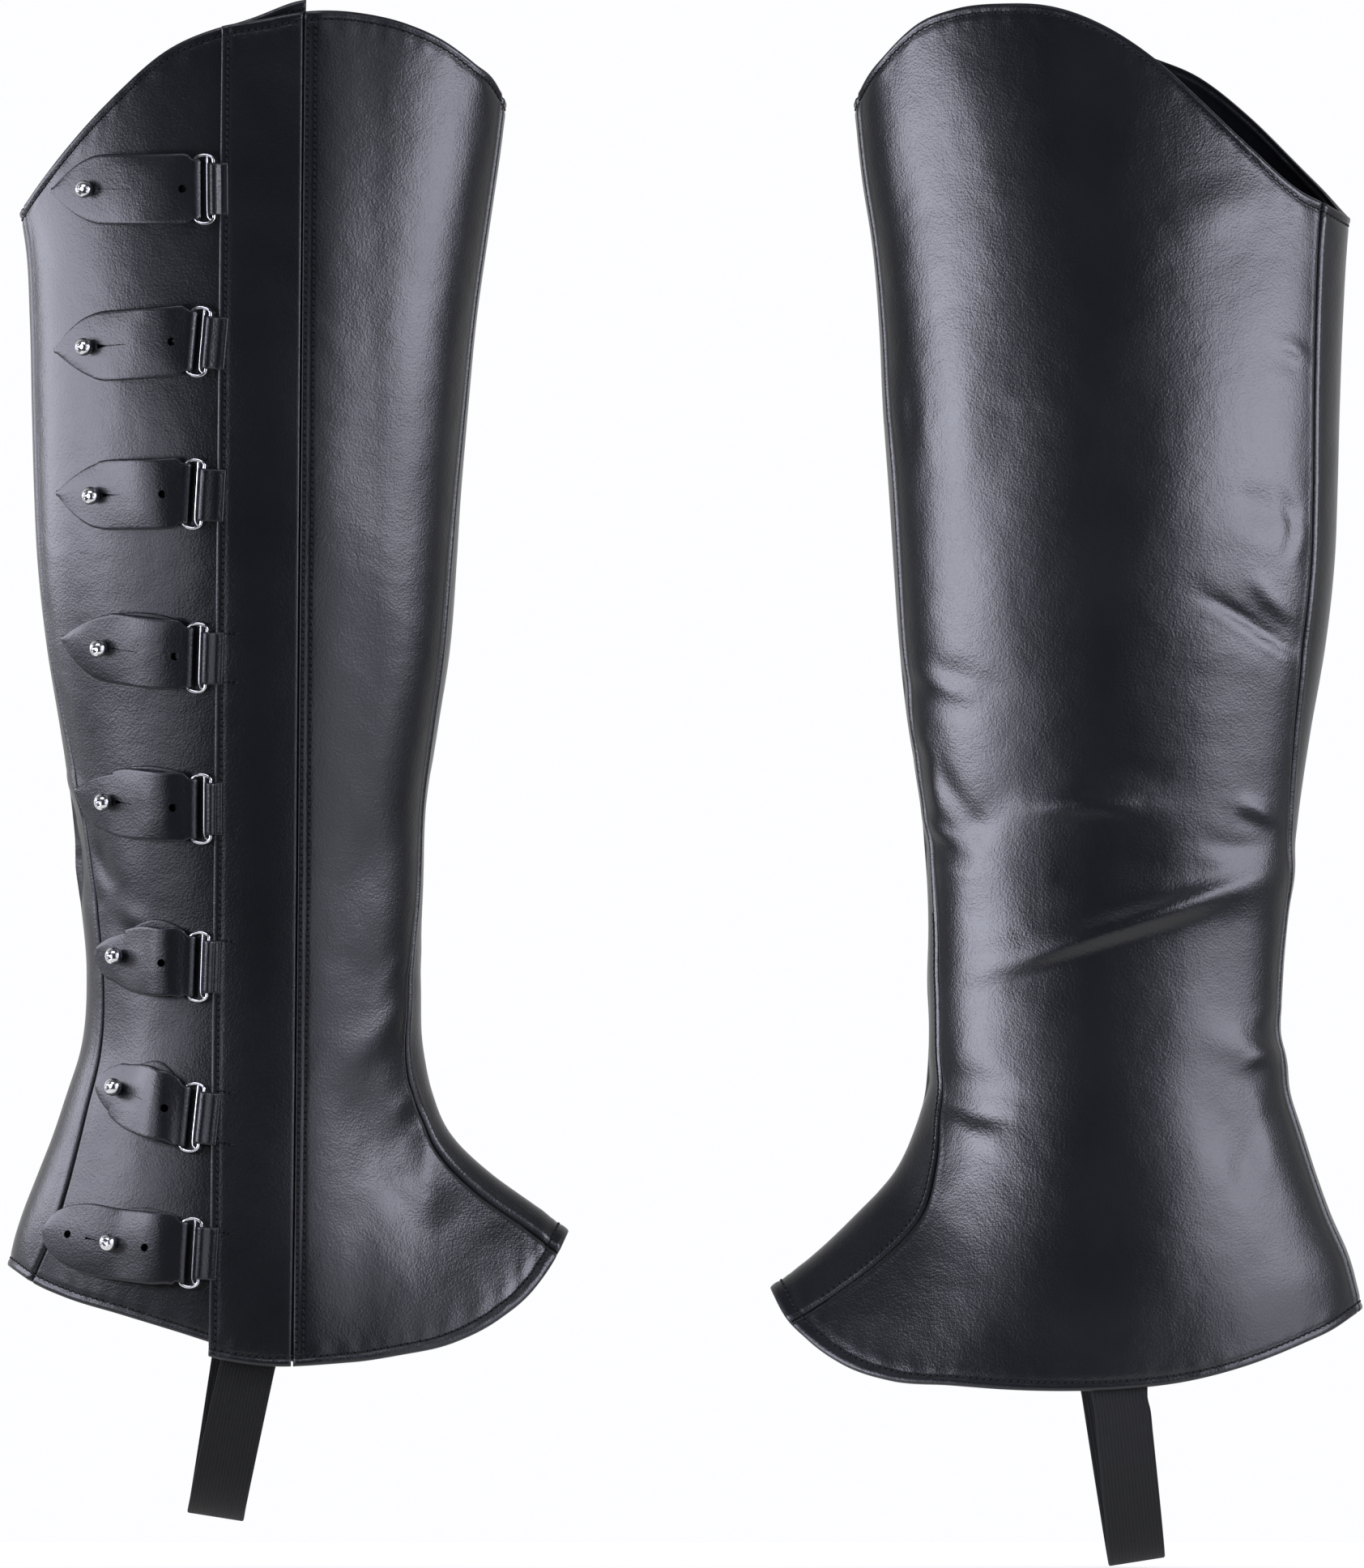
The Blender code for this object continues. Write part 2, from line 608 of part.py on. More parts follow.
def turned(name, profile, sides):
    """A mesh turned from a profile of radius and height, closed at both ends on the axis."""
    bm = bmesh.new()
    line = [bm.verts.new(Vector((r, 0, h)) * MM) for r, h in profile]
    edges = [bm.edges.new(pair) for pair in zip(line, line[1:])]
    spun = line + edges
    bmesh.ops.spin(
        bm,
        geom=spun,
        cent=(0, 0, 0),
        axis=(0, 0, 1),
        angle=2 * math.pi,
        steps=sides,
        use_merge=True,
    )
    bmesh.ops.remove_doubles(bm, verts=bm.verts, dist=1e-6)
    bmesh.ops.recalc_face_normals(bm, faces=bm.faces)
    mesh = bpy.data.meshes.new(name)
    bm.to_mesh(mesh)
    bm.free()
    return mesh


def stud_hole(tube, name, strap, parent):
    profile = [(0, -0.1), (STUD_HOLE, -0.1), (STUD_HOLE, 9.0), (0, 9.0)]
    hole = link(bpy.data.objects.new(name + "_hole", turned(name + "_hole", profile, 10)), parent, None)
    hole.matrix_local = standing(tube, strap.stud_x, strap.stud_z, 0.0)
    hide(hole)
    return hole


def stud(tube, prefix, number, strap, parent, nickel):
    """A stud with a ball head, whose post stands on the rear panel and goes through the strap."""
    ball = [
        (STUD_BALL * math.cos(a), STUD_BALL_HEIGHT + STUD_BALL * math.sin(a))
        for a in np.linspace(-1.1, math.pi / 2, 5)[:-1]
    ]
    profile = [(0, 0), (STUD_POST, 0), *ball, (0, STUD_BALL_HEIGHT + STUD_BALL)]
    name = f"{prefix}stud_{number}"
    obj = link(bpy.data.objects.new(name, turned(name, profile, 8)), parent, nickel)
    obj.matrix_local = standing(tube, strap.stud_x, strap.stud_z, SEAM_GAP)
    obj.data.shade_smooth()
    return obj


def ring(tube, prefix, number, strap, parent, nickel):
    """A wire ring with round corners, between the strap's fold and its tab."""
    name = f"{prefix}ring_{number}"
    data = bpy.data.curves.new(name, "CURVE")
    data.dimensions = "3D"
    data.bevel_depth = WIRE * MM
    data.bevel_resolution = 1
    points = []
    for side_x, side_y, start in ((1, 1, 0), (-1, 1, 90), (-1, -1, 180), (1, -1, 270)):
        for step in (0, 45, 90):
            turn = math.radians(start + step)
            x = side_x * (RING_WIDTH / 2 - RING_CORNER) + RING_CORNER * math.cos(turn)
            y = side_y * (RING_HEIGHT / 2 - RING_CORNER) + RING_CORNER * math.sin(turn)
            points.append((x, y))
    spline = data.splines.new("POLY")
    spline.points.add(len(points) - 1)
    for place, (x, y) in zip(spline.points, points):
        place.co = (x * MM, y * MM, 0, 1)
    spline.use_cyclic_u = True
    obj = link(bpy.data.objects.new(name, data), parent, nickel)
    beside = Matrix.Translation((RING_WIDTH / 2 * MM, 0, 0))
    obj.matrix_local = standing(tube, strap.ring_x, strap.ring_z, RING_LIFT) @ beside
    return obj


def stirrup(tube, prefix, drop, bottom_x, parent, elastic):
    """The elastic under the foot: sewn inside the hem on both sides, with a round bottom."""
    inside = -(LEATHER + 2 * SEAM_GAP + STIRRUP_THICKNESS / 2)
    half = np.array([1.0, -1.0]) * STIRRUP_WIDTH / 2
    across_x, across_z = math.cos(STIRRUP_TILT), -math.sin(STIRRUP_TILT)
    legs = []
    for x, outer in ((STIRRUP_OUTER_X, True), (STIRRUP_INNER_X, False)):
        back, front, _, _ = tube.ends(0.0)
        along = (x - back) / (front - back)
        hem = float(tube.heights(along, outer)[0])
        leg = []
        for rise in (STIRRUP_SEWN, STIRRUP_SEWN / 2, 1.0):
            angle, share = tube.outer_place(x + half, hem + rise)
            angle = angle if outer else 2 * math.pi - angle
            leg.append(tube.point(angle, share, inside))
        legs.append((leg, x, hem))
    (outer_leg, outer_x, outer_hem), (inner_leg, inner_x, inner_hem) = legs
    wide = abs(outer_leg[-1][:, 1].mean())
    bottom = min(outer_hem, inner_hem) - drop
    rows = list(outer_leg)
    for turn in np.linspace(0, math.pi, 15)[1:-1]:
        side_x, side_z = (outer_x, outer_hem) if turn < math.pi / 2 else (inner_x, inner_hem)
        down = math.sin(turn)
        x = side_x + (bottom_x - side_x) * down
        z = side_z + (bottom - side_z) * down
        y = -wide * math.cos(turn)
        rows.append(np.array([(x + h * across_x, y, z + h * across_z * down) for h in half]))
    rows += inner_leg[::-1]
    return strip(prefix + "stirrup", np.array(rows), STIRRUP_THICKNESS, parent, elastic)


def finish(name, colour, metallic, roughness):
    material = bpy.data.materials.new(name)
    material.use_nodes = True
    shader = material.node_tree.nodes["Principled BSDF"]
    shader.inputs["Base Color"].default_value = (*colour, 1.0)
    shader.inputs["Metallic"].default_value = metallic
    shader.inputs["Roughness"].default_value = roughness
    return material


def boot_cover(prefix, tube, drop, bottom_x, place, leather, nickel, elastic):
    """One whole cover on its own empty, which stands at the middle of the calf."""
    calf = bpy.data.objects.new(prefix + "calf", None)
    bpy.context.scene.collection.objects.link(calf)
    calf.matrix_world = place
    inner_panel(tube, prefix, calf, leather)
    rear_panel(tube, prefix, calf, leather)
    front_panel(tube, prefix, calf, leather)
    placket(tube, prefix, calf, leather)
    stirrup(tube, prefix, drop, bottom_x, calf, elastic)
    for number, strap in enumerate(STRAPS, 1):
        strap_piece(tube, prefix, number, strap, calf, leather)
        ring(tube, prefix, number, strap, calf, nickel)
        stud(tube, prefix, number, strap, calf, nickel)


def main():
    for obj in list(bpy.data.objects):
        bpy.data.objects.remove(obj)
    leather = finish("Black leather cloth", (0.022, 0.022, 0.028), 0.0, 0.38)
    nickel = finish("Polished nickel", (0.78, 0.78, 0.80), 1.0, 0.12)
    elastic = finish("Black elastic", (0.016, 0.017, 0.018), 0.0, 0.85)
    first = LegTube(FIRST_SECTIONS, FIRST_EDGES, FIRST_OUTER_FOLDS, FIRST_INNER_FOLDS, -1)
    second = LegTube(SECOND_SECTIONS, SECOND_EDGES, SECOND_OUTER_FOLDS, SECOND_INNER_FOLDS, 1)
    beside = Matrix.Translation((COVER_SPACING * MM, 0, 0))
    half_turn = Matrix.Rotation(math.pi, 4, "Z")
    boot_cover("first_", first, 54.5, -11.0, Matrix.Identity(4), leather, nickel, elastic)
    boot_cover("second_", second, 57.5, -8.5, beside @ half_turn, leather, nickel, elastic)


main()
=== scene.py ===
# %% [markdown]
# # A pair of tall boot covers
#
# Each cover is a leg tube cut from black leather cloth. It closes down its outer side with a
# placket, eight straps on wire rings and ball studs, and a stirrup of elastic under the foot.
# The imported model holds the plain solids. This lesson dresses them: thin cloth with turned and
# stitched edges and creases, cut straps, round wire, woven elastic, and the finish of each.

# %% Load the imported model
import math
from collections import namedtuple

import bpy
import numpy as np
from mathutils import Matrix, Vector


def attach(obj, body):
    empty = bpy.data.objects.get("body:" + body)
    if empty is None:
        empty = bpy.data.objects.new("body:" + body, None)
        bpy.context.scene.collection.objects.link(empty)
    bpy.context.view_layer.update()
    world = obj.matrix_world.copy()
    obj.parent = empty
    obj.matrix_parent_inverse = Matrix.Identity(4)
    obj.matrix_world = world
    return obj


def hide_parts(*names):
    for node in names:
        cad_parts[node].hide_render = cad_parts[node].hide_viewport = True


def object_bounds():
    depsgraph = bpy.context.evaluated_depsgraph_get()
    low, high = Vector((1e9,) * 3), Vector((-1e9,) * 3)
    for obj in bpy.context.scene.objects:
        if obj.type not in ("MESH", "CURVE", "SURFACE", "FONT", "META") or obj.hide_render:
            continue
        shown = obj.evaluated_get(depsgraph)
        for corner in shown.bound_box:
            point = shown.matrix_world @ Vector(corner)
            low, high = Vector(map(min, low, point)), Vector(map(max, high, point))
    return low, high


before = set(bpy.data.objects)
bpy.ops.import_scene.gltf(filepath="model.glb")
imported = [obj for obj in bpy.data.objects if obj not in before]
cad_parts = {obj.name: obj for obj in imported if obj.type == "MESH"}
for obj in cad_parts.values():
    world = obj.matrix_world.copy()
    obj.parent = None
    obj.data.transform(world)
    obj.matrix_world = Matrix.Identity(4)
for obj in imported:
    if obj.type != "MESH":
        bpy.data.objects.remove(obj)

MM = 0.001
cad_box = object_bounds()
print("solids:", len(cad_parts), "size in mm:", [round(s / MM, 1) for s in cad_box[1] - cad_box[0]])

# %% [markdown]
# ## Camera
#
# The pair was photographed from far away and level, so both covers show their sides without
# any perspective. A long lens from twelve metres gives the same view. The frame's height on
# the object fixes the lens: it is the sensor's length times the distance over that height.

# %% Set the camera
VIEW_HEIGHT = 522.7 * MM
VIEW_MIDDLE = Vector((144.45, 0.0, -99.36)) * MM
CAMERA_DISTANCE = 12.0

lens_data = bpy.data.cameras.new("camera")
lens_data.sensor_width = 36.0
lens_data.lens = lens_data.sensor_width * CAMERA_DISTANCE / VIEW_HEIGHT
camera = bpy.data.objects.new("camera", lens_data)
camera.location = VIEW_MIDDLE - Vector((0, CAMERA_DISTANCE, 0))
camera.rotation_euler = (math.radians(90), 0, 0)
bpy.context.scene.collection.objects.link(camera)
bpy.context.scene.camera = camera
print("lens in mm:", round(lens_data.lens, 1))

# %% [markdown]
# ## Writing node trees as sums
#
# Every finish is a small sum of patterns. Nodes can be placed by hand, but a long sum is easier
# to read as an expression. `Wire` stands for one socket, and its operators add Math nodes.
# `Nodes` adds any other node in one call: its type, its settings, then what its sockets get.
# The same two serve the stitches' geometry tree further down.


# %% Wires and nodes
class Wire:
    """One output socket of a node tree, which can be used in sums."""

    def __init__(self, tree, socket):
        self.tree, self.socket = tree, socket

    def __add__(self, other):
        return self.tree.maths("ADD", self, other)

    def __sub__(self, other):
        return self.tree.maths("SUBTRACT", self, other)

    def __rsub__(self, other):
        return self.tree.maths("SUBTRACT", other, self)

    def __mul__(self, other):
        return self.tree.maths("MULTIPLY", self, other)

    def __truediv__(self, other):
        return self.tree.maths("DIVIDE", self, other)

    __radd__, __rmul__ = __add__, __mul__


class Nodes:
    """A node tree that grows by one call for each node."""

    def __init__(self, tree):
        self.tree = tree
        tree.nodes.clear()

    @staticmethod
    def find(sockets, name):
        if isinstance(name, int):
            return sockets[name]
        return next(socket for socket in sockets if socket.enabled and socket.name == name)

    def add(self, kind, settings=None, inputs=None):
        node = self.tree.nodes.new(kind)
        for name, value in (settings or {}).items():
            setattr(node, name, value)
        for name, value in (inputs or {}).items():
            socket = self.find(node.inputs, name)
            if isinstance(value, Wire):
                self.tree.links.new(value.socket, socket)
            else:
                socket.default_value = value
        return lambda output: Wire(self, self.find(node.outputs, output))

    def maths(self, operation, *values):
        return self.add("ShaderNodeMath", {"operation": operation}, dict(enumerate(values)))("Value")

    def between(self, value, low, high):
        """0 below low and 1 above high, with a soft step from one to the other."""
        limits = {"Value": value, "From Min": low, "From Max": high}
        return self.add("ShaderNodeMapRange", {"interpolation_type": "SMOOTHSTEP"}, limits)("Result")

    def blend(self, share, first, second):
        """One colour where share is 0, the other where it is 1."""
        colours = {"Factor": share, "A": (*first, 1.0), "B": (*second, 1.0)}
        return self.add("ShaderNodeMix", {"data_type": "RGBA"}, colours)("Result")

    def noise(self, place, scale, detail=2.0, roughness=0.5):
        values = {"Vector": place, "Scale": scale, "Detail": detail, "Roughness": roughness}
        return self.add("ShaderNodeTexNoise", {}, values)("Fac")

    def bump(self, height, distance, strength=1.0):
        values = {"Height": height, "Distance": distance, "Strength": strength}
        return self.add("ShaderNodeBump", {}, values)("Normal")


def finish(name, paint):
    """A material whose Principled shader gets what the paint function returns."""
    made = bpy.data.materials.new(name)
    made.use_nodes = True
    tree = Nodes(made.node_tree)
    shader = tree.add("ShaderNodeBsdfPrincipled", {}, paint(tree))
    tree.add("ShaderNodeOutputMaterial", {}, {"Surface": shader("BSDF")})
    return made


def object_place(tree):
    return tree.add("ShaderNodeTexCoord")("Object")


def flat_layout(tree):
    """The piece's own flat layout, in metres: X across the cloth and Y along it."""
    layout = tree.add("ShaderNodeUVMap", {"uv_map": "cloth"})("UV")
    return tree.add("ShaderNodeSeparateXYZ", {}, {"Vector": layout})


# %% [markdown]
# ## Leather cloth
#
# The covers are a coated cloth with a fine, shallow grain and a satin gloss. An image of
# leather would need a flat layout of every piece. A pattern in object space needs none and
# runs on from piece to piece. Four layers carry it: a cell pattern for the pebbles, a
# noise for the pores, low swells 20 mm long that bend the reflections, and a slow noise that
# makes the gloss uneven, as handling does. The mesh tells how far each point is from its
# piece's edge, and the coat is worn there.


# %% Make the leather
WORN_EDGE, WORN_WANDER = 0.8 * MM, 0.6 * MM


def paint_leather(tree):
    place = object_place(tree)
    cells = {"Vector": place, "Scale": 1350.0, "Smoothness": 0.5, "Randomness": 0.9}
    pebbles = tree.add("ShaderNodeTexVoronoi", {"feature": "SMOOTH_F1"}, cells)("Distance")
    pores = tree.noise(place, 820.0, 3.0, 0.6)
    swells = tree.noise(place, 50.0, 2.0)
    handling = tree.noise(place, 24.0, 3.0, 0.55)
    edge = tree.add("ShaderNodeAttribute", {"attribute_name": "edge"})("Fac")
    worn = 1.0 - tree.between(edge + (pores - 0.5) * WORN_WANDER, 0.0, WORN_EDGE)
    dark, light = (0.0022, 0.0024, 0.0036), (0.0062, 0.0066, 0.0098)
    return {
        "Base Color": tree.blend(handling * 0.7 + worn * 0.5, dark, light),
        "Roughness": 0.32 + (handling - 0.5) * 0.10 + (pores - 0.5) * 0.05 + worn * 0.05,
        "Specular IOR Level": 0.55,
        "Normal": tree.bump(pebbles * 0.7 + pores * 0.8 + swells * 7.0, 0.00009, 0.8),
    }


leather = finish("Black leather cloth, grained", paint_leather)


# %% [markdown]
# The back of the cloth is a thin knit that the coating is laid on, and it shows inside the
# tube. It gets its rows of loops from the piece's own flat layout, in metres, so they run
# along the cloth and keep their size. Two crossed waves give the loops.


# %% Make the knit backing
WALE_PITCH, COURSE_PITCH = 1.1 * MM, 0.8 * MM


def paint_backing(tree):
    flat = flat_layout(tree)
    fuzz = tree.noise(object_place(tree), 900.0, 2.0)
    wales = tree.maths("SINE", flat("X") * (2 * math.pi / WALE_PITCH))
    courses = tree.maths("SINE", flat("Y") * (2 * math.pi / COURSE_PITCH) + wales * 1.2)
    loops = wales * 0.5 + courses * 0.5 + fuzz
    dark, light = (0.006, 0.006, 0.008), (0.020, 0.020, 0.025)
    return {
        "Base Color": tree.blend(tree.between(loops, -0.6, 1.6), dark, light),
        "Roughness": 0.88 + (fuzz - 0.5) * 0.15,
        "Specular IOR Level": 0.25,
        "Normal": tree.bump(loops, 0.00012, 0.6),
    }


backing = finish("Knit backing", paint_backing)


# %% [markdown]
# The stirrup is woven elastic: fine ribs along its length, where rubber threads lie under the
# weave, and a closer rib along each edge. The sewing thread is twisted from plies. Each stitch
# carries a value along its length, and slanting lines of that value are the plies.


# %% Make the elastic and the thread
RIB_PITCH, PICK_PITCH = 1.2 * MM, 0.7 * MM


def paint_elastic(tree):
    flat = flat_layout(tree)
    fuzz = tree.noise(object_place(tree), 1400.0, 2.0)
    ribs = tree.maths("SINE", flat("X") * (2 * math.pi / RIB_PITCH))
    picks = tree.maths("SINE", flat("Y") * (2 * math.pi / PICK_PITCH) + ribs * 1.5)
    weave = ribs * 0.6 + picks * 0.35 + fuzz * 0.5
    dark, light = (0.0030, 0.0031, 0.0035), (0.0105, 0.0108, 0.0120)
    return {
        "Base Color": tree.blend(tree.between(weave, -0.7, 1.2), dark, light),
        "Roughness": 0.80 + (fuzz - 0.5) * 0.2,
        "Specular IOR Level": 0.3,
        "Normal": tree.bump(weave, 0.00018, 0.7),
    }


def paint_thread(tree):
    along = tree.add("ShaderNodeAttribute", {"attribute_name": "along_stitch"})("Fac")
    around = tree.add("ShaderNodeAttribute", {"attribute_name": "around_stitch"})("Fac")
    fuzz = tree.noise(object_place(tree), 2600.0, 2.0)
    plies = tree.maths("SINE", along * 9.0 + around * 3.0)
    dark, light = (0.0020, 0.0021, 0.0026), (0.0130, 0.0138, 0.0160)
    return {
        "Base Color": tree.blend(tree.between(plies, -1.0, 1.0), dark, light),
        "Roughness": 0.72 + (fuzz - 0.5) * 0.2,
        "Specular IOR Level": 0.25,
        "Normal": tree.bump(plies * 0.7 + fuzz * 0.5, 0.0001, 0.7),
    }


# Dark matt discs between the stitches: painted shade standing in for the shade inside the needle holes.
def paint_hole_shade(tree):
    fuzz = tree.noise(object_place(tree), 3000.0, 2.0)
    return {
        "Base Color": tree.blend(fuzz, (0.0012, 0.0012, 0.0015), (0.004, 0.004, 0.005)),
        "Roughness": 0.9 + (fuzz - 0.5) * 0.1,
        "Specular IOR Level": 0.1,
    }


elastic = finish("Woven elastic", paint_elastic)
thread = finish("Twisted thread", paint_thread)
hole_shade = finish("Needle hole", paint_hole_shade)


# %% [markdown]
# Rings and studs are nickel on steel, bright but not a mirror. Fine rubbing marks come from a
# noise that is squeezed along one axis, and they move the roughness a little.


# %% Make the nickel
def paint_nickel(tree):
    place = object_place(tree)
    squeezed = tree.add("ShaderNodeMapping", {}, {"Vector": place, "Scale": (1.0, 1.0, 0.12)})("Vector")
    rubbing = tree.noise(squeezed, 3200.0, 2.0)
    film = tree.noise(place, 260.0, 2.0)
    return {
        "Base Color": tree.blend(film, (0.62, 0.62, 0.64), (0.82, 0.82, 0.83)),
        "Metallic": 1.0,
        "Roughness": 0.12 + rubbing * 0.10 + (film - 0.5) * 0.06,
        "Normal": tree.bump(rubbing, 0.00001, 0.4),
    }


nickel = finish("Polished nickel, rubbed", paint_nickel)
finishes = (leather, backing, elastic, thread, hole_shade, nickel)
print("finishes:", [made.name for made in finishes])

# %% [markdown]
# ## Light and backdrop
#
# Satin black shows little of its own colour: it shows the lights. The photograph has a bright
# upright band near each side of a cover and a dark middle, so soft boxes stand to the left and
# right of the camera's line, and nothing bright stands close behind the camera. A near box
# lights only the rows at its own height, and a far one lights them all. A high box in front
# lights the flared hem, which faces up. The bands lie differently on the two covers, so each
# cover has its own boxes, joined to it by light linking. The space behind the covers is white.
# It lights their outlines with a thin rim, as a white sweep does.


# %% Hang the lights
lit = {side: bpy.data.collections.new(f"{side} cover") for side in ("first", "second")}

PAIR_SPACING = 287.5
COOL_WHITE = (0.84, 0.85, 1.0)
Box = namedtuple("Box", "side name azimuth distance width low high power")
BOXES = [
    Box("first", "left", -84, 0.6, 0.80, -0.09, 0.20, 5.0),
    Box("first", "left_low", -84, 1.5, 1.9, -0.50, 0.20, 3.5),
    Box("first", "heel", -46, 0.6, 0.50, -0.18, 0.02, 1.0),
    Box("first", "right", 65, 0.6, 0.28, -0.05, 0.20, 2.1),
    Box("first", "low", 50, 0.6, 0.52, -0.40, -0.05, 0.8),
    Box("first", "high", 50, 1.5, 1.3, 0.12, 0.90, 2.8),
    Box("second", "left", -60, 1.5, 0.85, -0.45, 0.25, 24),
    Box("second", "low", -40, 1.5, 0.5, -0.80, -0.15, 4),
    Box("second", "right", 54, 0.6, 0.56, -0.11, 0.16, 3.7),
    Box("second", "right_low", 54, 1.5, 1.3, -0.50, 0.05, 8),
    Box("first", "top", -8, 1.5, 1.6, 1.3, 2.1, 20),
    Box("second", "top", -8, 1.5, 1.6, 1.3, 2.1, 5),
]


def hang(box):
    """A soft box that faces its cover; azimuth is from the camera's line, low and high its ends."""
    name = f"{box.side}_{box.name}_box"
    data = bpy.data.lights.new(name, "AREA")
    data.shape, data.size, data.size_y = "RECTANGLE", box.width, box.high - box.low
    data.energy, data.color = box.power, COOL_WHITE
    light = bpy.data.objects.new(name, data)
    turn = math.radians(box.azimuth)
    cover_x = PAIR_SPACING * MM if box.side == "second" else 0.0
    light.location = (
        cover_x + math.sin(turn) * box.distance,
        -math.cos(turn) * box.distance,
        (box.low + box.high) / 2,
    )
    light.rotation_euler = (math.radians(90), 0, turn)
    if box.name == "top":
        light.rotation_euler = (VIEW_MIDDLE - light.location).to_track_quat("-Z", "Y").to_euler()
    light.visible_camera = False
    light.light_linking.receiver_collection = lit[box.side]
    bpy.context.scene.collection.objects.link(light)


for box in BOXES:
    hang(box)

FRONT_LEVEL, BEHIND_LEVEL = 0.045, 0.8
world = bpy.data.worlds.new("white room")
bpy.context.scene.world = world
world.use_nodes = True
room = Nodes(world.node_tree)
direction = room.add("ShaderNodeSeparateXYZ", {}, {"Vector": room.add("ShaderNodeTexCoord")("Generated")})
behind = room.between(direction("Y"), -0.35, 0.95)
seen = room.add("ShaderNodeLightPath")("Is Camera Ray")
level = room.maths("MAXIMUM", seen, FRONT_LEVEL + behind * BEHIND_LEVEL)
sky = room.add("ShaderNodeBackground", {}, {"Color": (0.985, 0.985, 1.0, 1.0), "Strength": level})
room.add("ShaderNodeOutputWorld", {}, {"Surface": sky("Background")})

bpy.context.scene.view_settings.view_transform = "Standard"
print("soft boxes:", len(BOXES), "of", round(sum(box.power for box in BOXES), 1), "watts in all")

# %% [markdown]
# The covers hang just above a plain pale floor. It glows a little, so it stays as pale as the
# backdrop where the soft boxes don't reach.


# %% Lay the floor
def paint_floor(tree):
    speckle = tree.noise(object_place(tree), 40.0, 2.0)
    return {
        "Base Color": tree.blend(speckle, (0.80, 0.80, 0.81), (0.84, 0.84, 0.85)),
        "Roughness": 0.9,
        "Emission Color": (0.98, 0.98, 1.0, 1.0),
        "Emission Strength": 0.75,
    }


def lay_floor(level, half_width, near, far):
    mesh = bpy.data.meshes.new("floor")
    corners = [(-half_width, near), (half_width, near), (half_width, far), (-half_width, far)]
    mesh.from_pydata([(x + VIEW_MIDDLE.x, y, level) for x, y in corners], [], [(0, 1, 2, 3)])
    mesh.materials.append(finish("Pale floor", paint_floor))
    made = bpy.data.objects.new("floor", mesh)
    bpy.context.scene.collection.objects.link(made)


lay_floor(level=cad_box[0].z - 0.5 * MM, half_width=0.45, near=-0.3, far=0.4)

# %% [markdown]
# ## The shape of a leg
#
# The worn tube isn't a cylinder. Its back and toe lines, its depth from side to side and its
# edges are drawn as smooth curves through a few measured rows. The same rows shaped the solids,
# so the cloth below lies on them with no fitting. Lengths are millimetres from the middle of
# the calf, x towards the toe, the outer side at -y.

# %% The rows of both legs
Section = namedtuple("Section", "z back front depth back_seam front_seam")
FIRST_SECTIONS = [
    Section(-294.0, -90.0, 160.0, 46.0, 7.0, 3.5),
    Section(-262.0, -80.6, 122.0, 44.0, 7.5, 3.5),
    Section(-248.4, -77.3, 106.9, 43.0, 9.5, 3.5),
    Section(-243.0, -75.6, 99.9, 42.4, 10.0, 3.3),
    Section(-229.5, -70.5, 81.0, 40.7, 9.4, 3.2),
    Section(-216.0, -65.3, 67.5, 38.8, 8.0, 3.0),
    Section(-202.5, -60.8, 61.3, 37.0, 7.0, 3.2),
    Section(-189.0, -56.4, 58.3, 35.4, 6.2, 4.4),
    Section(-162.0, -54.0, 57.2, 34.0, 5.3, 3.8),
    Section(-135.0, -56.4, 58.2, 34.3, 4.5, 1.6),
    Section(-108.0, -59.0, 59.2, 35.6, 3.2, 1.3),
    Section(-81.0, -62.8, 62.9, 37.8, 1.8, 2.0),
    Section(-54.0, -67.1, 67.0, 40.2, 1.3, 2.6),
    Section(-27.0, -70.1, 69.3, 42.4, 1.2, 2.3),
    Section(0.0, -71.6, 71.0, 44.0, 1.2, 1.6),
    Section(27.0, -72.4, 73.2, 44.9, 1.2, 1.2),
    Section(54.0, -72.9, 75.9, 45.0, 1.2, 1.0),
    Section(81.0, -74.5, 79.7, 44.4, 1.2, 1.0),
    Section(91.3, -76.3, 81.2, 44.0, 1.2, 1.0),
    Section(126.0, -84.0, 85.6, 42.0, 1.2, 1.0),
    Section(160.0, -90.0, 86.5, 40.0, 1.2, 1.0),
]
SECOND_SECTIONS = [
    Section(-301.0, -88.0, 155.0, 45.0, 1.4, 6.0),
    Section(-273.0, -83.2, 121.5, 44.0, 1.4, 6.0),
    Section(-256.5, -79.1, 99.6, 42.6, 1.4, 7.5),
    Section(-243.0, -73.4, 85.1, 41.0, 1.4, 9.0),
    Section(-229.5, -68.6, 72.9, 39.3, 1.3, 9.0),
    Section(-216.0, -64.3, 66.2, 37.6, 1.3, 7.0),
    Section(-202.5, -59.9, 62.1, 36.0, 1.2, 4.5),
    Section(-189.0, -57.2, 60.8, 34.6, 1.2, 3.3),
    Section(-162.0, -57.4, 60.8, 33.0, 1.2, 3.1),
    Section(-135.0, -60.0, 61.3, 33.2, 1.2, 2.4),
    Section(-108.0, -62.8, 63.5, 34.6, 3.0, 1.3),
    Section(-81.0, -66.6, 67.5, 37.0, 5.2, 1.4),
    Section(-54.0, -71.3, 70.5, 39.6, 7.2, 1.6),
    Section(-27.0, -74.3, 72.6, 41.6, 7.6, 1.9),
    Section(0.0, -75.6, 74.3, 43.0, 8.0, 2.0),
    Section(27.0, -76.4, 76.1, 43.8, 8.6, 1.6),
    Section(54.0, -77.3, 77.5, 44.0, 9.0, 1.3),
    Section(81.0, -78.8, 79.9, 43.8, 9.2, 1.0),
    Section(102.6, -81.0, 83.2, 43.0, 9.2, 1.0),
    Section(128.0, -84.0, 85.6, 42.0, 9.0, 1.0),
    Section(160.0, -88.0, 87.0, 40.0, 9.0, 1.0),
]

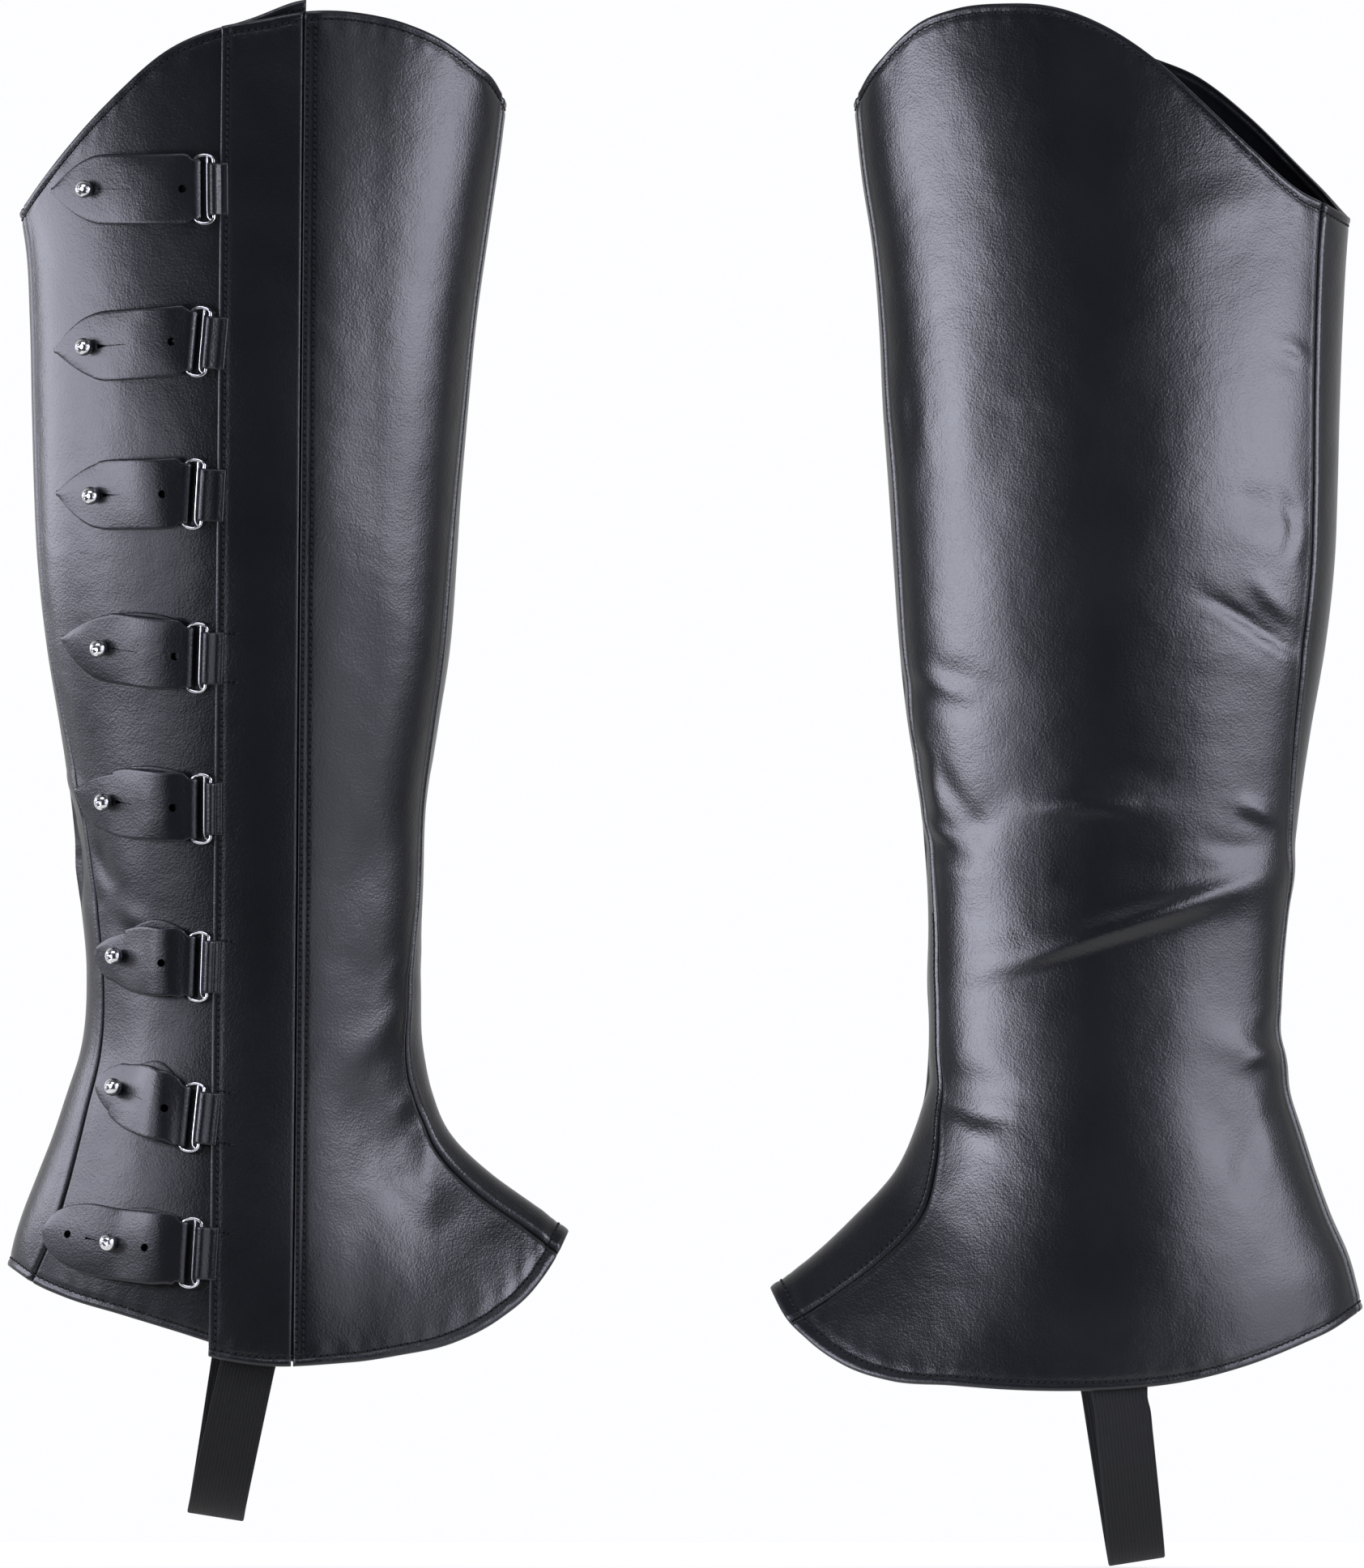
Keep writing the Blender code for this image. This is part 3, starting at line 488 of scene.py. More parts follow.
Edge = namedtuple("Edge", "along top_outer top_inner hem_outer hem_inner")
FIRST_EDGES = [
    Edge(0.00, 91.3, 91.3, -260.0, -260.0),
    Edge(0.05, 102.5, 93.5, -266.0, -265.0),
    Edge(0.10, 112.6, 97.0, -270.0, -268.5),
    Edge(0.20, 130.0, 111.0, -275.6, -273.5),
    Edge(0.30, 144.0, 127.0, -281.2, -278.5),
    Edge(0.40, 151.4, 141.0, -286.9, -283.5),
    Edge(0.50, 154.6, 150.0, -290.9, -287.5),
    Edge(0.60, 157.4, 154.5, -291.6, -288.5),
    Edge(0.70, 157.0, 154.5, -289.0, -286.0),
    Edge(0.80, 153.4, 151.5, -284.6, -282.0),
    Edge(0.88, 147.5, 145.5, -276.8, -275.0),
    Edge(0.94, 140.4, 138.5, -267.0, -266.0),
    Edge(0.98, 134.5, 133.5, -256.0, -255.5),
    Edge(1.00, 128.0, 128.0, -248.4, -248.4),
]
SECOND_EDGES = [
    Edge(0.00, 89.5, 89.5, -274.5, -274.5),
    Edge(0.05, 99.0, 93.8, -279.5, -281.0),
    Edge(0.10, 107.5, 97.8, -283.0, -285.5),
    Edge(0.20, 124.0, 111.8, -289.0, -293.0),
    Edge(0.30, 137.0, 127.4, -294.0, -298.0),
    Edge(0.40, 144.0, 142.2, -297.0, -300.3),
    Edge(0.50, 150.5, 152.9, -298.5, -301.0),
    Edge(0.60, 155.0, 159.0, -298.5, -300.5),
    Edge(0.70, 156.5, 160.1, -296.5, -299.0),
    Edge(0.80, 154.0, 158.4, -293.0, -297.4),
    Edge(0.88, 148.5, 153.0, -288.0, -292.0),
    Edge(0.94, 141.0, 143.6, -281.0, -283.6),
    Edge(0.98, 134.0, 135.0, -273.5, -275.0),
    Edge(1.00, 128.0, 128.0, -267.3, -267.3),
]

Fold = namedtuple("Fold", "x z slope length width rise")
FIRST_OUTER_FOLDS = [
    Fold(48.0, -222.0, -52.0, 46.0, 9.0, -1.0),
    Fold(36.0, -186.0, 40.0, 52.0, 9.0, 0.7),
    Fold(38.0, -128.0, 55.0, 60.0, 9.0, -0.6),
    Fold(46.0, -78.0, 70.0, 60.0, 9.0, 0.6),
    Fold(-52.0, -128.0, -62.0, 44.0, 7.0, -1.6),
]
FIRST_INNER_FOLDS = [
    Fold(-8.0, -140.0, -14.0, 96.0, 7.0, 2.0),
    Fold(44.0, -112.0, 22.0, 44.0, 8.0, -1.8),
    Fold(-46.0, -56.0, 26.0, 40.0, 8.0, -1.6),
    Fold(-42.0, -222.0, 62.0, 48.0, 8.0, -1.8),
]
SECOND_OUTER_FOLDS = [
    Fold(52.0, -226.0, -50.0, 46.0, 9.0, -2.0),
    Fold(36.0, -180.0, 36.0, 52.0, 9.0, 1.6),
    Fold(40.0, -122.0, 52.0, 60.0, 9.0, -1.6),
    Fold(-54.0, -124.0, -60.0, 44.0, 7.0, -1.6),
]
SECOND_INNER_FOLDS = [
    Fold(-13.0, -143.0, -15.0, 100.0, 6.5, 2.4),
    Fold(7.0, -108.0, 2.0, 44.0, 6.0, 1.5),
    Fold(-48.0, -46.0, 25.0, 38.0, 6.5, -0.8),
    Fold(53.0, -66.0, 16.0, 34.0, 6.5, -1.0),
    Fold(50.0, -116.0, -32.0, 40.0, 6.5, -0.9),
    Fold(-50.0, -190.0, 20.0, 32.0, 6.0, 1.6),
    Fold(-43.0, -224.0, 60.0, 44.0, 7.0, -1.1),
    Fold(50.0, -200.0, 10.0, 34.0, 7.0, -1.2),
]

# %% [markdown]
# The large folds above are in the solids. Leather cloth also breaks into small sharp creases,
# mostly at the ankle and beside the seams. A cloth simulation would put them somewhere else
# each time, so they are listed one by one where the photograph has them, with others like them on
# the sides it hides. Each is a path across the cloth with a width and a rise, and a shallow
# trough runs along its lower side.

# %% The small creases
Crease = namedtuple("Crease", "path width rise")
FIRST_OUTER_CREASES = [
    Crease(((32, -194), (42, -184), (52, -171)), 4.2, 0.45),
    Crease(((48, -211), (52, -206), (56, -200)), 3.0, 0.4),
    Crease(((57, -214), (60, -224), (60, -236)), 4.0, -0.45),
    Crease(((-61, -95), (-57, -102), (-52, -112)), 2.6, 0.8),
    Crease(((-55, -112), (-53, -125), (-49, -139)), 2.6, 0.9),
    Crease(((-51, -118), (-48, -128), (-45, -134)), 2.2, -0.6),
    Crease(((-44, -138), (-38, -144), (-30, -146)), 3.0, 0.5),
    Crease(((34, -2), (48, -40), (56, -74)), 9.0, 0.22),
    Crease(((42, -52), (54, -82), (60, -112)), 7.0, -0.18),
    Crease(((30, -100), (42, -112), (52, -118)), 6.0, 0.18),
    Crease(((22, -150), (34, -160), (50, -164)), 6.0, -0.18),
    Crease(((56, -158), (50, -160), (44, -168)), 2.6, 0.25),
    Crease(((70, -226), (62, -236), (58, -250)), 5.0, -0.35),
]
FIRST_INNER_CREASES = [
    Crease(((38, -160), (12, -150), (-17, -141), (-52, -127)), 3.4, 1.0),
    Crease(((50, -84), (44, -92), (26, -97)), 3.0, -0.8),
    Crease(((-60, -50), (-50, -44), (-34, -38)), 3.0, 0.8),
    Crease(((-55, -112), (-44, -108), (-34, -107)), 2.6, 0.6),
    Crease(((-52, -186), (-46, -192), (-40, -204)), 3.0, 0.6),
    Crease(((52, -196), (42, -206), (30, -211)), 3.6, -0.7),
]
SECOND_OUTER_CREASES = [
    Crease(((36, -190), (44, -186), (52, -180)), 3.4, -0.8),
    Crease(((56, -200), (60, -212), (64, -228)), 3.6, -0.8),
    Crease(((-60, -90), (-56, -100), (-52, -112)), 2.8, 0.7),
    Crease(((-56, -116), (-54, -128), (-49, -140)), 2.6, 0.8),
    Crease(((36, -6), (50, -44), (58, -80)), 9.0, 0.6),
    Crease(((30, -104), (44, -116), (54, -120)), 5.0, 0.5),
]
SECOND_INNER_CREASES = [
    Crease(((41, -163), (12.7, -152), (-16.5, -142), (-57, -126.5)), 3.2, 1.25),
    Crease(((25, -107), (8, -105.5), (-10, -107)), 2.8, 0.9),
    Crease(((-41, -105.5), (-48, -108), (-57, -112)), 2.6, 0.9),
    Crease(((-29, -36.5), (-40, -42), (-52, -50), (-63, -57)), 1.7, -0.75),
    Crease(((-46, -29), (-53, -38), (-62, -46)), 2.6, 0.45),
    Crease(((69, -58), (58, -66), (42, -71)), 3.4, 0.9),
    Crease(((65, -84), (56, -98), (41, -119)), 3.4, -0.6),
    Crease(((66, -78), (60, -92), (57, -112)), 2.6, 0.7),
    Crease(((-57, -2), (-60, -14), (-57, -26)), 2.0, -0.5),
    Crease(((-55, 48), (-61, 45), (-66, 41)), 2.4, 0.5),
    Crease(((70, 44), (67, 22), (69, 4)), 3.0, -0.35),
    Crease(((62, -110), (57, -116), (50, -118)), 2.0, 0.6),
    Crease(((61, -120), (54, -124), (44, -126)), 2.0, -0.5),
    Crease(((58, -203), (46, -209), (32, -212)), 3.6, -0.8),
    Crease(((-42, -193), (-49, -190), (-57, -188)), 2.2, 0.55),
    Crease(((-45, -178), (-51, -176), (-57, -172)), 3.2, 0.4),
    Crease(((-46, -200), (-50, -208), (-51, -226)), 3.4, 0.35),
    Crease(((-54, -206), (-47, -219), (-40, -240)), 4.2, -0.45),
    Crease(((-28, -118), (-42, -120), (-56, -118)), 3.4, -0.5),
    Crease(((12, -96), (-4, -95), (-20, -97)), 3.6, -0.4),
    Crease(((22, -130), (2, -126), (-20, -124)), 5.0, -0.5),
    Crease(((-40, -2), (-52, -8), (-64, -8)), 6.0, -0.5),
    Crease(((-20, 82), (-34, 92), (-52, 96)), 9.0, 0.5),
    Crease(((56, 60), (50, 30), (52, -6)), 8.0, 0.4),
]
crease_lists = (FIRST_OUTER_CREASES, FIRST_INNER_CREASES, SECOND_OUTER_CREASES, SECOND_INNER_CREASES)
print("creases placed by hand:", sum(len(creases) for creases in crease_lists))


# %% Curves through rows, and the rise of a crease
TROUGH_DEPTH = 0.45
TROUGH_PLACE = 1.8
TROUGH_WIDTH = 1.2


def smooth_line(keys, values, at):
    """A smooth curve through the values at the keys, read at any place."""
    keys, values = np.asarray(keys, float), np.asarray(values, float)
    slopes = np.gradient(values, keys, axis=0)
    at = np.clip(at, keys[0], keys[-1])
    i = np.clip(np.searchsorted(keys, at) - 1, 0, len(keys) - 2)
    wide = values.ndim > 1
    step = (keys[i + 1] - keys[i])[..., None] if wide else keys[i + 1] - keys[i]
    t = (at - keys[i])[..., None] / step if wide else (at - keys[i]) / step
    start = values[i] * (1 + 2 * t) * (1 - t) ** 2 + values[i + 1] * t**2 * (3 - 2 * t)
    return start + step * t * (1 - t) * (slopes[i] * (1 - t) - slopes[i + 1] * t)


def curve(rows, column):
    keys = [row[0] for row in rows]
    values = [getattr(row, column) for row in rows]
    return lambda key: smooth_line(keys, values, key)


def ease(t):
    """0 before 0 and 1 after 1, with a soft start and end."""
    t = np.clip(t, 0, 1)
    return t * t * (3 - 2 * t)


def swell(distance, height, place, width):
    """The rise of a soft ridge, or of a groove where its height is negative, at a distance."""
    return height * np.exp(-(((distance - place) / width) ** 2))


def crease_rise(crease, x, z):
    """How far one crease moves the cloth at each x and z."""
    steps = np.linspace(0, 1, 48)
    path = smooth_line(np.linspace(0, 1, len(crease.path)), crease.path, steps)
    heading = np.gradient(path, axis=0)
    heading /= np.linalg.norm(heading, axis=1, keepdims=True)
    reach = 4 * crease.width
    low, high = path.min(axis=0) - reach, path.max(axis=0) + reach
    rise = np.zeros_like(x)
    near = (x > low[0]) & (x < high[0]) & (z > low[1]) & (z < high[1])
    points = np.stack([x[near], z[near]], axis=-1)
    if len(points) == 0:
        return rise
    nearest = np.linalg.norm(points[:, None] - path[None], axis=2).argmin(axis=1)
    away = points - path[nearest]
    turn = heading[nearest]
    beside = turn[:, 0] * away[:, 1] - turn[:, 1] * away[:, 0]
    past = turn[:, 0] * away[:, 0] + turn[:, 1] * away[:, 1]
    upright = np.where(turn[:, 0] < 0, -beside, beside)
    ridge = swell(upright, 1.0, 0.0, crease.width)
    trough = swell(upright, TROUGH_DEPTH, -TROUGH_PLACE * crease.width, TROUGH_WIDTH * crease.width)
    share = np.clip(steps[nearest], 0.02, 0.98)
    fade = np.sin(math.pi * share) ** 0.7 * swell(past, 1.0, 0.0, 2 * crease.width)
    rise[near] = crease.rise * fade * (ridge - trough)
    return rise


# %% [markdown]
# ## The tube
#
# A point of the cloth is found by two numbers: the angle round the leg, which is 0 at the toe
# and grows over the inner side to the back, and the share of the height from hem to top edge.
# Working in these two makes panels, seams, stitches and straps easy to lay side by side.

# %% The tube's measures
LEATHER = 1.5
SEAM_GAP = 0.3
UNEVENNESS = 0.22
CLOSURE_HEIGHTS = (-290.0, 155.0)
PLACKET_REAR_X = (-12.6, -8.3)
PLACKET_FRONT_X = (14.6, 18.4)
UNDERLAP_X = (16.0, 19.7)
PLACKET_THICKNESS = 1.8
PLACKET_LIFT = 2.3
STEP_START = 0.8
STEP_LENGTH = 25.0
FRONT_HEM_DROP = 4.6
UNDERLAP_RISE = 4.0


def between(pair, z):
    """A value that runs evenly from the hem to the top edge of the closure."""
    share = (z - CLOSURE_HEIGHTS[0]) / (CLOSURE_HEIGHTS[1] - CLOSURE_HEIGHTS[0])
    return pair[0] + (pair[1] - pair[0]) * share


class LegTube:
    """The worn shape of one cover, read by the angle round it and the share of its height."""

    def __init__(self, sections, edges, folds, creases, seam_side, placing):
        self.back = curve(sections, "back")
        self.front = curve(sections, "front")
        self.depth = curve(sections, "depth")
        self.back_strip = curve(sections, "back_seam")
        self.front_strip = curve(sections, "front_seam")
        self.top = (curve(edges, "top_outer"), curve(edges, "top_inner"))
        self.hem = (curve(edges, "hem_outer"), curve(edges, "hem_inner"))
        self.folds = folds
        self.creases = creases
        self.seam_side = seam_side
        self.placing = placing

    def heights(self, along, outer):
        hem = np.where(outer, self.hem[0](along), self.hem[1](along))
        top = np.where(outer, self.top[0](along), self.top[1](along))
        return hem, top

    def ends(self, share):
        back_z = self.hem[0](0.0) + (self.top[0](0.0) - self.hem[0](0.0)) * share
        front_z = self.hem[0](1.0) + (self.top[0](1.0) - self.hem[0](1.0)) * share
        return self.back(back_z), self.front(front_z), back_z, front_z

    def fold_rise(self, x, z, outer):
        rise = np.zeros_like(x)
        for side, folds in zip((outer, ~outer), self.folds):
            for fold in folds:
                slope = math.radians(fold.slope)
                along = (x - fold.x) * math.cos(slope) + (z - fold.z) * math.sin(slope)
                across = (z - fold.z) * math.cos(slope) - (x - fold.x) * math.sin(slope)
                shape = np.exp(-((across / fold.width) ** 2) - (2 * along / fold.length) ** 2)
                rise = rise + np.where(side, fold.rise * shape, 0.0)
        return rise

    def crease_rise(self, x, z, outer):
        """The small creases, on a cloth that is never quite even."""
        rise = UNEVENNESS * np.sin(x / 9.5 + 1.7 * np.sin(z / 47.0))
        rise = rise * np.sin(z / 31.0 + 1.2 * np.sin(x / 23.0))
        for side, creases in zip((outer, ~outer), self.creases):
            for crease in creases:
                rise = rise + np.where(side, crease_rise(crease, x, z), 0.0)
        return rise

    def smooth_point(self, angle, share, extra_z=0.0):
        along = (1 + np.cos(angle)) / 2
        outer = np.sin(angle) < 0
        hem, top = self.heights(along, outer)
        back, front, _, _ = self.ends(share)
        x = back + (front - back) * along
        z = hem + (top - hem) * share + extra_z
        return np.stack([x, self.depth(z) * np.sin(angle), z], axis=-1)

    def point(self, angle, share, lift=0.0, extra_z=0.0, creased=False):
        """A point of the cloth's outer face, moved out by lift."""
        angle, share = np.broadcast_arrays(np.asarray(angle, float), np.asarray(share, float))
        step = 1e-3
        here = self.smooth_point(angle, share, extra_z)
        round_it = self.smooth_point(angle + step, share, extra_z) - here
        up_it = self.smooth_point(angle, share + step, extra_z) - here
        out = np.cross(round_it, up_it)
        out /= np.linalg.norm(out, axis=-1, keepdims=True)
        outer = np.sin(angle) < 0
        rise = self.fold_rise(here[..., 0], here[..., 2], outer)
        if creased:
            rise = rise + self.crease_rise(here[..., 0], here[..., 2], outer)
        return here + out * np.asarray(rise + lift)[..., None]

    def outer_place(self, x, z):
        """The angle and share of the outer face's point at this x and z."""
        x, z = np.broadcast_arrays(np.asarray(x, float), np.asarray(z, float))
        share = np.full(x.shape, 0.5)
        for _ in range(20):
            back, front, _, _ = self.ends(share)
            along = np.clip((x - back) / (front - back), 0.0, 1.0)
            hem, top = self.heights(along, True)
            share = (z - hem) / (top - hem)
        return 2 * math.pi - np.arccos(2 * along - 1), share

    def on_outer(self, x, z, lift=0.0):
        return self.point(*self.outer_place(x, z), lift)

    def frame(self, x, z):
        """The point of the outer side at x and z, with its forward, up and outward directions."""
        here = self.on_outer(x, z)
        forward = self.on_outer(x + 1, z) - here
        up = self.on_outer(x, z + 1) - here
        out = np.cross(forward, up)
        out /= np.linalg.norm(out)
        forward /= np.linalg.norm(forward)
        return here, forward, np.cross(out, forward), out

    def seam_angles(self, share):
        back, front, back_z, front_z = self.ends(share)
        width = front - back
        front_turn = np.arccos(1 - 2 * self.front_strip(front_z) / width)
        back_turn = np.arccos(1 - 2 * self.back_strip(back_z) / width)
        return self.seam_side * front_turn, math.pi - self.seam_side * back_turn

    def closure_angle(self, pair, share):
        middle_hem, middle_top = self.heights(0.45, True)
        z = middle_hem + (middle_top - middle_hem) * share
        back, front, _, _ = self.ends(share)
        along = (between(pair, z) - back) / (front - back)
        return 2 * math.pi - np.arccos(2 * along - 1)

    def gap_angle(self, share):
        return SEAM_GAP / 2 / self.depth(self.ends(share)[2])

    def placed(self, points):
        """Points of the leg as points of the pair, still in millimetres."""
        turn = np.array(self.placing.to_3x3())
        return points @ turn.T + np.array(self.placing.translation) / MM


Cover = namedtuple("Cover", "name tube stirrup_drop stirrup_x")
second_placing = Matrix.Translation((PAIR_SPACING * MM, 0, 0)) @ Matrix.Rotation(math.pi, 4, "Z")
COVERS = [
    Cover(
        "first",
        LegTube(
            FIRST_SECTIONS,
            FIRST_EDGES,
            (FIRST_OUTER_FOLDS, FIRST_INNER_FOLDS),
            (FIRST_OUTER_CREASES, FIRST_INNER_CREASES),
            -1,
            Matrix.Identity(4),
        ),
        stirrup_drop=54.5,
        stirrup_x=-11.0,
    ),
    Cover(
        "second",
        LegTube(
            SECOND_SECTIONS,
            SECOND_EDGES,
            (SECOND_OUTER_FOLDS, SECOND_INNER_FOLDS),
            (SECOND_OUTER_CREASES, SECOND_INNER_CREASES),
            1,
            second_placing,
        ),
        stirrup_drop=57.5,
        stirrup_x=-8.5,
    ),
]

# %% [markdown]
# ## Cutting a piece of cloth
#
# Panels, straps, ring tabs and the stirrup are all the same kind of thing: a flat cut of some
# thickness, bent into place. Solidify could thicken a sheet, but it gives knife edges. Here a
# function says where each point of the cut lies, also at any depth below its face, and the
# shell is built from it: the face, the back, and a few loops between them that round the edge.
# The grid is closer at the edges, where the turned hem and its stitches need it. The piece
# knows its own width, length and area.

# %% The cut piece
ROUND_EDGE = ((0.0, 0.55), (0.12, 0.24), (0.34, 0.06), (0.62, 0.0))
BACK_EDGE_DEPTH, BACK_EDGE_INSET = 0.62, 0.5
MEASURE_COLUMNS, MEASURE_ROWS = 41, 81
TURNED_HEM = 8.6
HEM_STEP = 1.6
BACKING_EDGE = 9.0
ROW_ABOVE, ROW_BELOW = 0.04, 0.46


def stations(length, coarse, fine=0.7):
    """Shares along a length: fine steps at both ends, which grow to the coarse step."""
    steps, place = [0.0], 0.0
    while place < length / 2:
        place += min(coarse, fine + 0.1 * place)
        steps.append(place)
    half = np.array(steps) / steps[-1] / 2
    return np.concatenate([half, 1 - half[-2::-1]])


class CutPiece:
    """A cut piece of cloth, read by its shares across and along, and the depth under its face."""

    def __init__(self, name, place, thickness, turned_hem=0.0):
        self.name, self.place, self.thickness, self.turned_hem = name, place, thickness, turned_hem
        columns, rows = np.linspace(0, 1, MEASURE_COLUMNS), np.linspace(0, 1, MEASURE_ROWS)
        across, self.shares = np.meshgrid(columns, rows)
        middle = place(across, self.shares, thickness / 2)
        sideways, upwards = np.diff(middle, axis=1), np.diff(middle, axis=0)
        self.widths = np.linalg.norm(sideways, axis=2).sum(axis=1)
        self.lengths = np.linalg.norm(upwards, axis=2).sum(axis=0)
        self.width, self.length = self.widths.max(), self.lengths.max()
        cells = np.cross(sideways[:-1], upwards[:, :-1])
        self.area = np.linalg.norm(cells, axis=2).sum()

    def width_at(self, v):
        return np.interp(v, self.shares[:, 0], self.widths)

    def length_at(self, u):
        return np.interp(u, np.linspace(0, 1, MEASURE_COLUMNS), self.lengths)

    def edge_distance(self, u, v):
        return np.minimum(u, 1 - u) * self.width_at(v), np.minimum(v, 1 - v) * self.length_at(u)

    def mesh(self, coarse, materials, fine=0.7):
        """The shell as a mesh; the first material is the face, a second one is the back."""
        u, v = np.meshgrid(stations(self.width, coarse, fine), stations(self.length, coarse, fine))
        rows, columns = u.shape
        beside, ahead = self.edge_distance(u, v)
        back_depth = self.thickness + self.turned_hem * (1 - ease((ahead - TURNED_HEM) / HEM_STEP))
        rim_rows = list(ROUND_EDGE)
        for depth, amount in ROUND_EDGE[-2::-1]:
            rim_rows.append((self.thickness - BACK_EDGE_DEPTH * depth, BACK_EDGE_INSET * amount))

        def inset(amount):
            return (
                u + (0.5 - u) * 2 * amount / np.maximum(self.width, 4),
                v + (0.5 - v) * 2 * amount / self.length,
            )

        last_row, last_column = rows - 1, columns - 1
        border = [(0, c) for c in range(last_column)] + [(r, last_column) for r in range(last_row)]
        border += [(last_row, c) for c in range(last_column, 0, -1)]
        border += [(r, 0) for r in range(last_row, 0, -1)]
        border = np.array(border)
        at = (border[:, 0], border[:, 1])
        face = self.place(*inset(rim_rows[0][1]), 0.0)
        back = self.place(*inset(rim_rows[-1][1]), back_depth)
        loops = []
        for depth, amount in rim_rows[1:-1]:
            iu, iv = inset(amount)
            depth = depth * back_depth[at] / self.thickness
            loops.append(self.place(iu[at], iv[at], depth))
        count = rows * columns
        points = np.concatenate([face.reshape(-1, 3), back.reshape(-1, 3), *loops])
        corner = np.arange(count).reshape(rows, columns)
        quads = [corner[:-1, :-1], corner[:-1, 1:], corner[1:, 1:], corner[1:, :-1]]
        quads = np.stack(quads, axis=-1).reshape(-1, 4)
        chain = [border[:, 0] * columns + border[:, 1]]
        chain += [2 * count + k * len(border) + np.arange(len(border)) for k in range(len(loops))]
        chain.append(chain[0] + count)
        rim = [
            np.stack([np.roll(a, -1), a, b, np.roll(b, -1)], axis=-1)
            for a, b in zip(chain, chain[1:])
        ]
        faces = np.concatenate([quads, quads[:, ::-1] + count, *rim])
        centre = np.array([0.5])
        here, below = self.place(centre, centre, 0.0), self.place(centre, centre, 1.0)
        step = self.place(np.array([0.502, 0.5]), np.array([0.5, 0.502]), 0.0) - here
        if np.dot(np.cross(step[0], step[1]), (here - below)[0]) < 0:
            faces = faces[:, ::-1]
        made = bpy.data.meshes.new(self.name)
        made.from_pydata((points * MM).tolist(), [], faces.tolist())
        for material in materials:
            made.materials.append(material)
        if len(materials) > 1:
            inner = ahead[:-1, :-1].reshape(-1) > BACKING_EDGE
            index = np.zeros(len(faces), dtype=np.int32)
            index[len(quads) : 2 * len(quads)] = inner
            made.polygons.foreach_set("material_index", index)
        flat = np.stack([u * self.width, v * self.length], axis=-1).reshape(-1, 2) * MM
        rim_flat = flat[chain[0]]
        layout = np.concatenate([flat, flat] + [rim_flat] * len(loops))
        corners = np.empty(len(made.loops), dtype=np.int32)
        made.loops.foreach_get("vertex_index", corners)
        made.uv_layers.new(name="cloth").data.foreach_set("uv", layout[corners].reshape(-1))
        near = [np.minimum(beside, ahead).reshape(-1)] * 2 + [np.zeros(len(border))] * len(loops)
        edge = made.attributes.new("edge", "FLOAT", "POINT")
        edge.data.foreach_set("value", np.concatenate(near) * MM)
        made.shade_smooth()
        return made

    def piece(self, coarse, materials, fine=0.7):
        made = bpy.data.objects.new(self.name, self.mesh(coarse, materials, fine))
        bpy.context.scene.collection.objects.link(made)
        return made

    def row(self, u, v):
        """A line just over the face, as points and the outward direction at each, for stitches."""
        u, v = np.broadcast_arrays(np.asarray(u, float), np.asarray(v, float))
        points = self.place(u, v, -ROW_ABOVE)
        out = points - self.place(u, v, ROW_BELOW)
        return points * MM, out / np.linalg.norm(out, axis=-1, keepdims=True)


# %% [markdown]
# ## The panels
#
# The top edge and the hem are turned in and sewn down. That leaves a soft roll at the edge,
# then a groove where the stitches pull the cloth in, and small puckers across it. A seam pulls
# its two edges in and leaves a low roll beside it. The relief below adds all of these by the
# distance from the edge. The placket and the front panel lie over the rear panel's underlap,
# and the front panel comes down to the leg in a slow step beyond its double row of stitches.

# %% Relief of the stitched edges
STITCH_INSET = 2.9
PLACKET_ROW = 2.3
DOUBLE_ROWS = (0.9, 3.1)
HEM_DROP_RUN = 48.0
EDGE_POWER = 8


def stitched_edge(distance, x):
    """The roll of a turned edge, the groove of its stitches, and the puckers beyond them."""
    roll = swell(distance, 0.26, 1.3, 1.1)
    groove = swell(distance, -0.32, STITCH_INSET, 0.8)
    pucker = 0.13 * np.sin(0.85 * x + 2.0 * np.sin(0.13 * x)) * swell(distance, 1.0, 4.2, 3.2)
    return roll + groove + pucker


def sewn_groove(distance, rows):
    return sum(swell(distance, -0.22, row, 0.75) for row in rows)


def seam_edge(distance):
    """A turned edge beside a seam rolls up a little, then dives into the seam."""
    return swell(distance, 0.15, 1.5, 0.8) + swell(distance, -0.6, 0.0, 0.75)


def closure_lift(x, z):
    start = between(UNDERLAP_X, z) + STEP_START
    return PLACKET_LIFT * (1 - ease((x - start) / STEP_LENGTH))


def hem_drop(x, share):
    return -FRONT_HEM_DROP * (1 - ease((x - PLACKET_REAR_X[0]) / HEM_DROP_RUN)) * (1 - share) ** EDGE_POWER


def underlap_rise(x, share):
    start = between(PLACKET_REAR_X, CLOSURE_HEIGHTS[1])
    end = between(UNDERLAP_X, CLOSURE_HEIGHTS[1])
    return UNDERLAP_RISE * ease((x - start) / (end - start)) * share**EDGE_POWER


def panel_place(tube, start, end, lift=None, rise=None, seams=("start", "end")):
    """The place function of a panel from one angle of the tube to another."""

    def place(u, v, depth=0.0):
        first, turn = start(v), end(v) - start(v)
        angle = first + turn * u
        flat = tube.smooth_point(angle, v)
        x, z = flat[..., 0], flat[..., 2]
        hem, top = tube.heights((1 + np.cos(angle)) / 2, np.sin(angle) < 0)
        out = stitched_edge(np.minimum(v, 1 - v) * (top - hem), x) - depth
        back, front, _, _ = tube.ends(v)
        width = turn * np.hypot((front - back) / 2 * np.sin(angle), tube.depth(z) * np.cos(angle))
        for seam, share in (("start", u), ("end", 1 - u)):
            if seam in seams:
                out = out + seam_edge(share * width)
        if lift:
            out = out + lift(x, z)
        return tube.placed(tube.point(angle, v, out, rise(x, v) if rise else 0.0, creased=True))

    return place


